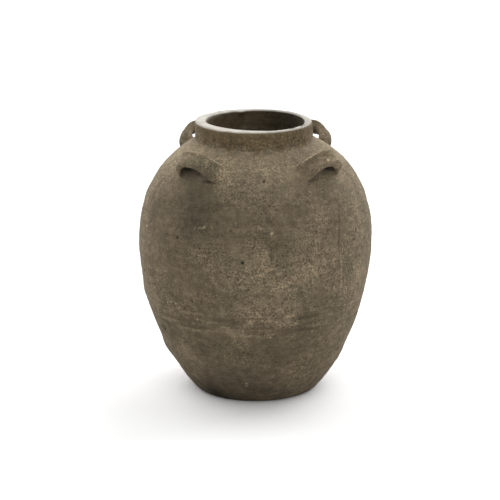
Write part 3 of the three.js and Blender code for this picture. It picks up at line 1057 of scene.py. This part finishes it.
# %% [markdown]
# ## Feet that melt into the wall
#
# Where a strap meets the shoulder, the potter's thumb leaves a rounded corner, a fillet. The
# strap's end rings are spread outwards along a quarter circle that touches both the strap and
# the shoulder. Its radius is small inside the arch and long on the outside. The last rings sink
# just under the wall's skin, so the two surfaces meet without a step.

# %% Press the strap's feet on
SIDE_FILLET = 3.5 * MM
INNER_FILLET = 3 * MM
OUTER_FILLET = 11 * MM
SMEARED_FILLET = 12 * MM
CREASE_FILLET = 1.2 * MM
CREASE_SPREAD = 1.3
LEAST_GAP = 0.5 * MM
SUNK = 0.2 * MM
BURIED = 2 * MM


def fillet_radius(node, across, along):
    """Fillet of each point of a foot, and the direction in which it spreads."""
    away = np.stack([across - np.sign(across) * LUG_HALF_SPAN, along], -1)
    away /= np.maximum(np.linalg.norm(away, axis=-1, keepdims=True), 1e-9)
    outward = away[..., 0] * np.sign(across)
    out, inwards = np.clip(outward, 0, 1), np.clip(-outward, 0, 1)
    smeared = np.sign(across) == SMEARED_FOOT.get(node, 0)
    longest = np.where(smeared, SMEARED_FILLET, OUTER_FILLET)
    radius = SIDE_FILLET + (longest - SIDE_FILLET) * out**2
    radius += (INNER_FILLET - SIDE_FILLET) * inwards
    under = smeared * np.clip(away[..., 1] * CREASE_SPREAD, 0, 1) ** 2 * (1 - out)
    return radius + (CREASE_FILLET - radius) * under, away


def foot_heights(radius, height):
    """Heights of a foot's rings above the shoulder: round the fillet, sunk, then buried."""
    start = np.arcsin(np.clip(1 - height / radius, -1, 1))
    share = np.linspace(0, 1, FOOT_STEPS + 1)[1:, None]
    sweep = start + (math.pi / 2 - start) * share
    low = radius * (1 - np.sin(sweep)) - SUNK * share
    return np.concatenate([low, np.full((1, low.shape[1]), -BURIED)])


def strap_points(node, axes):
    """Rings of points for one strap, from the buried end of one foot to that of the other."""
    across, along, level = strap_arch(node)
    along = np.broadcast_to(along, across.shape)
    ground, _ = on_shoulder(axes, across, along)
    height = np.maximum(level - ground, LEAST_GAP)
    radius, _ = fillet_radius(node, across, along)
    first, last = (foot_heights(radius[end], height[end]) for end in (0, -1))
    height = np.concatenate([first[::-1], height, last])
    added = ((FOOT_STEPS + 1, FOOT_STEPS + 1), (0, 0))
    across, along = np.pad(across, added, "edge"), np.pad(along, added, "edge")
    radius, away = fillet_radius(node, across, along)
    rise = np.clip(1 - np.maximum(height, 0) / radius, 0, 1)
    spread = radius * (1 - np.sqrt(1 - rise**2))
    across = across + away[..., 0] * spread
    along = along + away[..., 1] * spread
    ground, under = on_shoulder(axes, across, along)
    lumpy = outside_relief(under).reshape(across.shape)
    level = np.where(rise > 0, ground + height, np.pad(level, added)) + lumpy * rise
    base, side, down, stand = axes
    points = base + np.outer(across, side) + np.outer(along, down) + np.outer(level, stand)
    return points, height, len(across)


print("rings in a strap:", ARCH_STEPS + 1 + 2 * (FOOT_STEPS + 1))

# %% Clay on the straps
# Painted shade on the hollow side of each strap, lighter towards its edges.
CROWN_SHADE = dict(zip(LUG_DEGREES, (0.70, 0.70, 0.30, 0.30)))
CROWN_EDGE_SHADE = 0.25
STRAP_SHADE = dict(zip(LUG_DEGREES, (0.12, 0.12, 0.26, 0.26)))
# Paler strap edges, partly wear and partly a painted highlight: the upper edge most, and most of
# all at a smeared foot.
EDGE_WEAR_AND_HIGHLIGHT = 0.10
TOP_EDGE = (0.66, 0.80, 0.9, 1)
TOP_EDGE_WEAR_AND_HIGHLIGHT = 0.45
TOP_EDGE_WEAR_AND_HIGHLIGHT_AT_FOOT = 1.30
TOP_EDGE_PATCH, TOP_EDGE_PATCH_SEED = 0.009, 61
# The sines, cosines or lump heights between which each painted shade or pale edge of a strap grows.
CROWN_EDGE, CROWN_HOLLOW = (0.5, 1), (0.1, 0.8)
PALE_EDGE, PALE_PATCH, PALE_AT_FOOT = (0.75, 1), (-0.5, 0.4), (0.1, 0.8)
# Layers of lumps on a strap: height (mm) and size (m).
STRAP_LUMPS = ((0.45, 0.016), (0.25, 0.008), (0.13, 0.004))
STRAP_FLECKS = {
    # degrees along the arch and round the strap, size (mm), strength
    "lug_front_left": (
        (92, 342, 8, 0.45), (76, 330, 8, 0.35), (64, 318, 6, 0.25), (39, 36, 6, -0.16),
        (53, 48, 5, -0.12), (27, 78, 6, -0.3), (46, 350, 1.5, 1.2), (42, 5, 1.5, 1.2),
        (31, 306, 1.4, 1.6), (24, 302, 1.2, 1.2), (18, 306, 1.4, 1.5), (10, 300, 1.3, 1.6),
        (3, 294, 1.3, 1.4),
    ),
    "lug_front_right": (
        (104, 12, 1.2, 2.4), (102, 16, 1.2, 1.9), (150, 294, 2.2, 0.5), (138, 296, 2, 0.5),
        (60, 350, 8, 0.12), (57, 90, 6, 0.35), (45, 108, 5, 0.3), (31, 126, 5, 0.3),
        (72, 48, 6, 0.18), (137, 354, 7, -0.2), (151, 354, 6, -0.12),
    ),
}


def fleck_spots(node, points):
    """Pale and dark flecks that lie on one strap."""
    tone = np.zeros(len(points))
    for turned, round_it, size, strength in STRAP_FLECKS.get(node, ()):
        ring = FOOT_STEPS + 1 + round(turned / 180 * ARCH_STEPS)
        column = round(round_it / 360 * STRAP_AROUND) % STRAP_AROUND
        centre = points[ring * STRAP_AROUND + column]
        tone += strength * round_spot(points, centre, size * MM)
    return tone


def strap_tone(node, points, rings):
    """Clouds run over the straps. Their hollow side gets painted shade; their edges, wear and
    painted highlight.
    """
    around = np.tile(np.linspace(0, 2 * math.pi, STRAP_AROUND, endpoint=False), rings)
    sine, cosine = np.sin(around), np.cos(around)
    turn = np.clip((np.arange(rings) - FOOT_STEPS - 1) / ARCH_STEPS, 0, 1) * math.pi
    turn = np.repeat(turn, STRAP_AROUND)
    # Painted shade on the hollow side.
    near_edge = smooth_step(np.abs(sine), *CROWN_EDGE)
    hollow = CROWN_SHADE[node] + (CROWN_EDGE_SHADE - CROWN_SHADE[node]) * near_edge
    hollow *= smooth_step(-cosine, *CROWN_HOLLOW)
    # Paler edges and the upper edge's pale line: partly wear, partly painted highlight.
    edge = smooth_step(np.abs(sine), *PALE_EDGE) * (cosine > -0.2)
    top_edge_wear_and_highlight = band(-sine, *TOP_EDGE) * (cosine > 0)
    top_edge_wear_and_highlight *= smooth_step(lumps(points, TOP_EDGE_PATCH, TOP_EDGE_PATCH_SEED), *PALE_PATCH)
    at_foot = smooth_step(np.cos(turn) * SMEARED_FOOT.get(node, 0), *PALE_AT_FOOT)
    rub = TOP_EDGE_WEAR_AND_HIGHLIGHT + (TOP_EDGE_WEAR_AND_HIGHLIGHT_AT_FOOT - TOP_EDGE_WEAR_AND_HIGHLIGHT) * at_foot
    tone = outside_tone_and_painted_light(points) - hollow - STRAP_SHADE[node] + EDGE_WEAR_AND_HIGHLIGHT * edge + rub * top_edge_wear_and_highlight
    return tone + fleck_spots(node, points)


print("straps with noted flecks:", list(STRAP_FLECKS))

# %% Build the four lugs
FIRST_STRAP_SEED, SEEDS_PER_STRAP = 40, 10
BURIED_TONE = -0.3
STRAP_FREE = (0.5 * MM, 6 * MM)


def strap_lug(node, degrees, seed):
    """One lug, pressed on the shoulder at its compass angle."""
    points, height, rings = strap_points(node, lug_axes(degrees))
    piece = skin_rings(node + "_clay", points, rings, STRAP_AROUND, closed=False)
    normal = np.empty(len(piece.data.vertices) * 3)
    piece.data.vertices.foreach_get("normal", normal)
    normal = normal.reshape(-1, 3)[: len(points)]
    free = smooth_step(height.ravel(), *STRAP_FREE)
    layers = [(high, size, seed + i) for i, (high, size) in enumerate(STRAP_LUMPS)]
    shaped = points + normal * (layered(points, layers) * free)[:, None]
    tone = strap_tone(node, points, rings) * free
    tone += (1 - free) * (outside_tone_and_painted_light(points) + arch_shade(points))
    ends = [shaped[:STRAP_AROUND].mean(axis=0), shaped[-STRAP_AROUND:].mean(axis=0)]
    place = settle(np.concatenate([shaped, ends]))
    piece.data.vertices.foreach_set("co", place.ravel())
    piece.data.update()
    keep_values(piece, "tone", np.concatenate([tone, [BURIED_TONE, BURIED_TONE]]))
    return piece


for turn, (node, degrees) in enumerate(LUG_DEGREES.items()):
    pieces[node] = strap_lug(node, degrees, FIRST_STRAP_SEED + SEEDS_PER_STRAP * turn)
    print(node, len(pieces[node].data.polygons), "faces")

# %% [markdown]
# ## Clay finish
#
# Low-fired clay is dull and mottled: olive-grey where smoke lay, warm brown where the clay
# shows, with fine sandy grain, pale grit and dark pinholes. The mottling is one node group fed
# with the place in space, so every ring shares one pattern and no joint shows as a change of
# colour.

# %% Helpers for node trees
def plug(tree, node, inputs):
    """Fills a node's inputs: a socket is linked to its input, and a plain value is set."""
    for key, value in inputs.items():
        if isinstance(value, bpy.types.NodeSocket):
            tree.links.new(value, node.inputs[key])
        else:
            node.inputs[key].default_value = value


def new_node(tree, kind, inputs=None, **settings):
    """Adds a node, sets its options and fills its inputs."""
    node = tree.nodes.new(kind)
    for key, value in settings.items():
        setattr(node, key, value)
    plug(tree, node, inputs or {})
    return node


def new_material(name):
    """A new material, its node tree and its shader."""
    material = bpy.data.materials.new(name)
    material.use_nodes = True
    return material, material.node_tree, material.node_tree.nodes["Principled BSDF"]


def math_node(tree, operation, first, second):
    """A Math node with its two inputs filled."""
    return new_node(tree, "ShaderNodeMath", {0: first, 1: second}, operation=operation).outputs[0]


def arithmetic(operation):
    """A function that adds one kind of Math node to a tree."""
    return lambda tree, first, second: math_node(tree, operation, first, second)


times, plus = arithmetic("MULTIPLY"), arithmetic("ADD")
minus, larger = arithmetic("SUBTRACT"), arithmetic("MAXIMUM")


def mix_colour(tree, factor, first, second, blend="MIX"):
    """A colour Mix node with its inputs filled."""
    inputs = {0: factor, 6: first, 7: second}
    node = new_node(tree, "ShaderNodeMix", inputs, data_type="RGBA", blend_type=blend)
    return node.outputs[2]


def remap(tree, value, low, high, to_low=0.0, to_high=1.0, smooth=True):
    """Maps a value from one range to another, clamped at both ends."""
    names = ("Value", "From Min", "From Max", "To Min", "To Max")
    inputs = dict(zip(names, (value, low, high, to_low, to_high)))
    kind = "SMOOTHSTEP" if smooth else "LINEAR"
    node = new_node(tree, "ShaderNodeMapRange", inputs, interpolation_type=kind)
    return node.outputs["Result"]


def shaded(tree, colour, light):
    """A colour made darker or lighter all over by a factor."""
    grey = new_node(tree, "ShaderNodeCombineColor", {0: light, 1: light, 2: light})
    return mix_colour(tree, 1.0, colour, grey.outputs[0], "MULTIPLY")


def srgb(red, green, blue):
    """A colour picked on a 0 to 255 scale, as the shader's linear values."""
    shares = [channel / 255 for channel in (red, green, blue)]
    linear = [c / 12.92 if c <= 0.04 else ((c + 0.055) / 1.055) ** 2.4 for c in shares]
    return (*linear, 1.0)


print("middle grey as the shader sees it:", round(srgb(128, 128, 128)[0], 3))

# %% Helpers for patterns
SMALLEST_SPECK = 0.45
SPECK_CORE = 0.6


def place_vector(tree, stretched=(1, 1, 1), offset=0.0):
    """The place on the vase in metres, stretched along each axis."""
    place = new_node(tree, "ShaderNodeTexCoord").outputs["Object"]
    inputs = {"Vector": place, "Scale": stretched, "Location": (offset, offset, offset)}
    return new_node(tree, "ShaderNodeMapping", inputs).outputs[0]


def grain(tree, vector, scale, detail, roughness):
    """Noise from 0 to 1 with features about 1/scale metres across."""
    inputs = {"Vector": vector, "Scale": scale, "Detail": detail, "Roughness": roughness}
    return new_node(tree, "ShaderNodeTexNoise", inputs).outputs["Fac"]


def specks(tree, vector, scale, size, share):
    """A mask of round specks in a share of the cells, each about 1/scale metres across."""
    inputs = {"Vector": vector, "Scale": scale}
    node = new_node(tree, "ShaderNodeTexVoronoi", inputs, feature="F1")
    split = new_node(tree, "ShaderNodeSeparateColor", {0: node.outputs["Color"]})
    chosen = math_node(tree, "LESS_THAN", split.outputs[0], share)
    grown = remap(tree, split.outputs[1], 0, 1, SMALLEST_SPECK * size, size, smooth=False)
    edge = times(tree, grown, SPECK_CORE)
    spot = remap(tree, node.outputs["Distance"], edge, grown, 1, 0)
    return times(tree, spot, chosen)


print("specks shrink to", SMALLEST_SPECK, "of their size")

# %% [markdown]
# ## The mottling as one node group
#
# Four things show in the clay's colour: broad clouds of smoked and warm clay, level streaks from
# the wheel, sand, and single specks of grit and pinholes. All four materials need them, so they
# are built once as a group with named inputs, and each material gives its own amount of sand.
# The group puts out only a colour, a height and a roughness. The shader stays in the material.

# %% Colours and sockets of the clay
CLAY_COLOURS = {
    "Smoked Colour": srgb(106, 96, 77),
    "Warm Colour": srgb(123, 109, 89),
    "Neck Colour": srgb(101, 88, 66),
    "Grit Colour": srgb(178, 168, 148),
    "Pinhole Colour": srgb(40, 33, 26),
}
RUBBED_LIP = srgb(190, 186, 177)
# What faces up is mixed towards this pale colour: partly dust, partly painted light from above.
DUST_AND_TOP_LIGHT = srgb(158, 147, 124)
CLAY_VALUES = ("Tone", "Neck Start", "Sand")
# Noise in the clay: features per metre, detail and roughness.
NOISE = {
    "clouds": (13, 3, 0.6),
    "gritty places": (22, 2, 0.55),
    "streaks": (34, 4, 0.65),
    "patches": (40, 4, 0.6),
    "comb lines": (40, 3, 0.6),
    "rubbed patches": (90, 4, 0.55),
    "mottle": (120, 3, 0.6),
    "sand": (430, 3, 0.7),
}


def add_sockets(group, in_out, kind, names):
    """Gives a node group sockets of one kind."""
    for name in names:
        group.interface.new_socket(name, in_out=in_out, socket_type=kind)


print("clay colours:", list(CLAY_COLOURS))

# %% Broad colour, streaks and sand
RAGGED_NECK = 0.05
NECK_BLEND = (-0.004, 0.005)
WARM_CLOUDS = (0.36, 0.64)
STREAKS_FLAT, COMB_FLAT = (1, 1, 7), (1, 1, 14)
NOISE_MIDDLE = (0.3, 0.7)
# The darkest and lightest that each pattern makes the clay.
STREAK_LIGHT, COMB_LIGHT, MOTTLE_LIGHT = (0.88, 1.14), (0.90, 1.10), (0.76, 1.27)
# The noise, or the tone, where sand is faintest and strongest, and its strength there.
GRITTY_PATCHES, SANDY_TONES = (0.35, 0.62, 0.45, 1.15), (-0.35, 0.05, 0.5, 1.2)
DARKEST_GRAIN = 0.25


def fired_colour(tree, given, here, patches):
    """Smoked and warm clay in clouds, and the browner neck with a ragged lower edge."""
    clouds = grain(tree, here, *NOISE["clouds"])
    cloudy = plus(tree, times(tree, clouds, 0.5), times(tree, patches, 0.5))
    warm = remap(tree, cloudy, *WARM_CLOUDS)
    colour = mix_colour(tree, warm, given["Smoked Colour"], given["Warm Colour"])
    height = new_node(tree, "ShaderNodeSeparateXYZ", {0: here})
    ragged = times(tree, minus(tree, patches, 0.5), RAGGED_NECK)
    above = minus(tree, plus(tree, height.outputs["Z"], ragged), given["Neck Start"])
    on_neck = remap(tree, above, *NECK_BLEND)
    return mix_colour(tree, on_neck, colour, given["Neck Colour"])


def spread(tree, noise, lowest, highest):
    """The middle values of a noise, stretched evenly between two levels."""
    return remap(tree, noise, *NOISE_MIDDLE, lowest, highest, smooth=False)


def streaked_light(tree, far, comb):
    """Lighter and darker streaks round the pot, with soft blotches over them."""
    banded = place_vector(tree, stretched=STREAKS_FLAT)
    streaks = grain(tree, banded, *NOISE["streaks"])
    mottle = grain(tree, far, *NOISE["mottle"])
    light = times(tree, spread(tree, streaks, *STREAK_LIGHT), spread(tree, comb, *COMB_LIGHT))
    return times(tree, light, spread(tree, mottle, *MOTTLE_LIGHT))


def sandy_light(tree, given, far, sand):
    """Light and dark sand grains, stronger in gritty places and on paler clay."""
    gritty = grain(tree, far, *NOISE["gritty places"])
    swing = times(tree, given["Sand"], remap(tree, gritty, *GRITTY_PATCHES))
    swing = times(tree, swing, remap(tree, given["Tone"], *SANDY_TONES))
    centred = times(tree, minus(tree, sand, 0.5), swing)
    return larger(tree, plus(tree, centred, 1.0), DARKEST_GRAIN)


print("neck's blend (mm):", [round(edge / MM, 1) for edge in NECK_BLEND])

# %% Put the group together
# Specks: cells per metre, size in a cell and share of the cells.
GRIT_SPECKS, PINHOLE_SPECKS = (210, 0.30, 0.13), (190, 0.30, 0.16)
GRIT_STRENGTH, PINHOLE_STRENGTH = 0.5, 0.6
SAND_HEIGHT, COMB_HEIGHT = 0.8, 0.5
# Patterns that must not follow one another are read at shifted places.
FAR_SHIFT, COMB_SHIFT = 3.7, 1.3
DARKEST_TONE = 0.04
MATT = (0.88, 0.98)


def clay_group():
    """A group that puts out the clay's colour, its fine height and its roughness."""
    group = bpy.data.node_groups.new("mottled_clay", "ShaderNodeTree")
    add_sockets(group, "INPUT", "NodeSocketColor", CLAY_COLOURS)
    add_sockets(group, "INPUT", "NodeSocketFloat", CLAY_VALUES)
    add_sockets(group, "OUTPUT", "NodeSocketColor", ["Colour"])
    add_sockets(group, "OUTPUT", "NodeSocketFloat", ["Height", "Roughness"])
    given = new_node(group, "NodeGroupInput").outputs
    put = new_node(group, "NodeGroupOutput")
    here = place_vector(group)
    far = place_vector(group, offset=FAR_SHIFT)
    combed = place_vector(group, stretched=COMB_FLAT, offset=COMB_SHIFT)
    patches = grain(group, far, *NOISE["patches"])
    comb = grain(group, combed, *NOISE["comb lines"])
    sand = grain(group, here, *NOISE["sand"])

    light = times(group, streaked_light(group, far, comb), sandy_light(group, given, far, sand))
    colour = fired_colour(group, given, here, patches)
    colour = shaded(group, colour, light)
    pale = times(group, specks(group, here, *GRIT_SPECKS), GRIT_STRENGTH)
    colour = mix_colour(group, pale, colour, given["Grit Colour"])
    dark = times(group, specks(group, far, *PINHOLE_SPECKS), PINHOLE_STRENGTH)
    colour = mix_colour(group, dark, colour, given["Pinhole Colour"])
    toned = larger(group, plus(group, given["Tone"], 1.0), DARKEST_TONE)
    colour = shaded(group, colour, toned)

    relief = plus(group, times(group, sand, SAND_HEIGHT), pale)
    relief = minus(group, plus(group, relief, times(group, comb, COMB_HEIGHT)), dark)
    made = {"Colour": colour, "Height": relief, "Roughness": spread(group, sand, *MATT)}
    plug(group, put, made)
    return group


CLAY_GROUP = clay_group()
print("clay group with", len(CLAY_GROUP.nodes), "nodes")

# %% [markdown]
# ## Four clays
#
# Body, neck, lip and lugs are one clay, finished a little differently: the neck and lip were
# smoothed more, so they have less sand, and the lip is rubbed pale. What faces up is lightened,
# partly by dust and partly as painted light from above. A bump of under a millimetre carries
# the grain that is too fine for the mesh.

# %% Clay materials
NECK_START = NECK_FOOT + 1.5 * MM
FINE_BUMP = 0.9 * MM
BUMP_STRENGTH = 0.7
DULL = 0.2
# What faces up is lightened, partly by dust and partly as painted light from above.
DUST_AND_TOP_LIGHT_AMOUNT = 0.12
UP_FACING_SLOPES = (0.2, 1.0)
WORN_PATCHES = (0.3, 0.6, 0.72, 1.0)
BODY_SAND, NECK_SAND, LIP_SAND = 3.0, 2.4, 2.0


def kept_values(tree, name):
    """The value that keep_values stored on the mesh."""
    return new_node(tree, "ShaderNodeAttribute", attribute_name=name).outputs["Fac"]


def clay_material(name, sand, rubbed_top=False):
    """Matte clay. What faces up is lightened by dust and painted light from above, and the lip's
    top is rubbed pale.
    """
    material, tree, shader = new_material(name)
    values = {"Tone": kept_values(tree, "tone"), "Neck Start": NECK_START, "Sand": sand}
    clay = new_node(tree, "ShaderNodeGroup", {**CLAY_COLOURS, **values}, node_tree=CLAY_GROUP)
    facing = new_node(tree, "ShaderNodeNewGeometry").outputs["Normal"]
    split = new_node(tree, "ShaderNodeSeparateXYZ", {0: facing})
    # Partly dust and partly painted light from above, on what faces up.
    dust_and_top_light = times(tree, remap(tree, split.outputs["Z"], *UP_FACING_SLOPES), DUST_AND_TOP_LIGHT_AMOUNT)
    colour = mix_colour(tree, dust_and_top_light, clay.outputs["Colour"], DUST_AND_TOP_LIGHT)
    if rubbed_top:
        worn = grain(tree, place_vector(tree), *NOISE["rubbed patches"])
        worn = remap(tree, worn, *WORN_PATCHES)
        rubbed = times(tree, kept_values(tree, "rubbed"), worn)
        colour = mix_colour(tree, rubbed, colour, RUBBED_LIP)
    grains = {"Height": clay.outputs["Height"], "Strength": BUMP_STRENGTH, "Distance": FINE_BUMP}
    bump = new_node(tree, "ShaderNodeBump", grains).outputs[0]
    finish = {"Roughness": clay.outputs["Roughness"], "Specular IOR Level": DULL, "Normal": bump}
    plug(tree, shader, {"Base Color": colour, **finish})
    return material


MATERIAL_OF_SLOT = {
    "clay_body": clay_material("body_clay", BODY_SAND),
    "clay_neck": clay_material("neck_clay", NECK_SAND),
    "clay_lip": clay_material("lip_clay", LIP_SAND, rubbed_top=True),
    "clay_lugs": clay_material("lug_clay", BODY_SAND),
}
print("materials:", [material.name for material in MATERIAL_OF_SLOT.values()])

# %% Dress the pieces
SLOT_OF_NODE = {row["node"]: row["material_slot"] for row in frame["record"]["subparts"]}
for node, piece in pieces.items():
    piece.data.materials.append(MATERIAL_OF_SLOT[SLOT_OF_NODE[node]])
    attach(piece, "root")
    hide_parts(node)
print("dressed", len(pieces), "pieces")

# %% [markdown]
# ## Floor
#
# The vase stands on a wide level sheet. The sheet is almost white where the camera or a
# reflection sees it, but sends only a moderate light back up to the clay, as a matt grey-white
# paper would. It is a real surface, so it also takes the vase's shadow.

# %% White sheet
SHEET_BOUNCE = (0.60, 0.60, 0.59, 1)
SHEET_WHITE = (0.99, 0.99, 0.99, 1)
SHEET_HALF_SIZE = 30


def seen_ray(tree):
    """1 for rays that show the background itself: camera, mirror and glass rays."""
    path = new_node(tree, "ShaderNodeLightPath")
    seen = larger(tree, path.outputs["Is Camera Ray"], path.outputs["Is Glossy Ray"])
    return larger(tree, seen, path.outputs["Is Transmission Ray"])


def studio_floor():
    """A wide level sheet."""
    far = SHEET_HALF_SIZE
    mesh = bpy.data.meshes.new("studio_floor")
    corners = [(-far, -far, 0), (far, -far, 0), (far, far, 0), (-far, far, 0)]
    mesh.from_pydata(corners, [], [(0, 1, 2, 3)])
    material, tree, shader = new_material("white_sheet")
    sheet = mix_colour(tree, seen_ray(tree), SHEET_BOUNCE, SHEET_WHITE)
    plug(tree, shader, {"Base Color": sheet, "Roughness": 1.0, "Specular IOR Level": 0.0})
    mesh.materials.append(material)
    add_object("studio_floor", mesh)


studio_floor()
print("sheet is", 2 * SHEET_HALF_SIZE, "m wide")

# %% [markdown]
# ## Soft light
#
# The photograph's light is soft and comes mostly from above and behind, so the shadow lies in
# front of the foot and the flanks are brighter than the middle. A sun lamp with a wide angle
# acts as a large soft box. Five of them and a dim even world make that light.

# %% Soft light
WORLD_LEVEL = 0.20
SOFT_BOX_SPREAD = 60
SOFT_BOXES = (
    # name, strength, degrees from the front, degrees above the floor
    ("rear_box_left", 2.15, -145, 28),
    ("rear_box_right", 2.7, 145, 28),
    ("side_box_left", 0.60, -112, 45),
    ("side_box_right", 0.88, 112, 45),
    ("front_box", 1.04, 0, 45),
)


def soft_box(name, strength, azimuth, elevation):
    """A sun wide enough to act as a large soft box. Azimuth 0 shines from the front."""
    lamp = bpy.data.lights.new(name, "SUN")
    lamp.energy = strength
    lamp.angle = math.radians(SOFT_BOX_SPREAD)
    turn, lift = math.radians(azimuth), math.radians(elevation)
    level = math.cos(lift)
    towards = Vector((math.sin(turn) * level, -math.cos(turn) * level, math.sin(lift)))
    add_object(name, lamp).rotation_euler = towards.to_track_quat("Z", "Y").to_euler()


def studio_world():
    """Even white surroundings: plain white to the camera and in reflections."""
    world = bpy.data.worlds.new("studio")
    bpy.context.scene.world = world
    world.use_nodes = True
    tree = world.node_tree
    level = remap(tree, seen_ray(tree), 0, 1, WORLD_LEVEL, 1.0, smooth=False)
    plug(tree, tree.nodes["Background"], {"Strength": level, "Color": (1, 1, 1, 1)})


for box in SOFT_BOXES:
    soft_box(*box)
studio_world()
bpy.context.scene.view_settings.view_transform = "Standard"
print("soft boxes:", [box[0] for box in SOFT_BOXES])
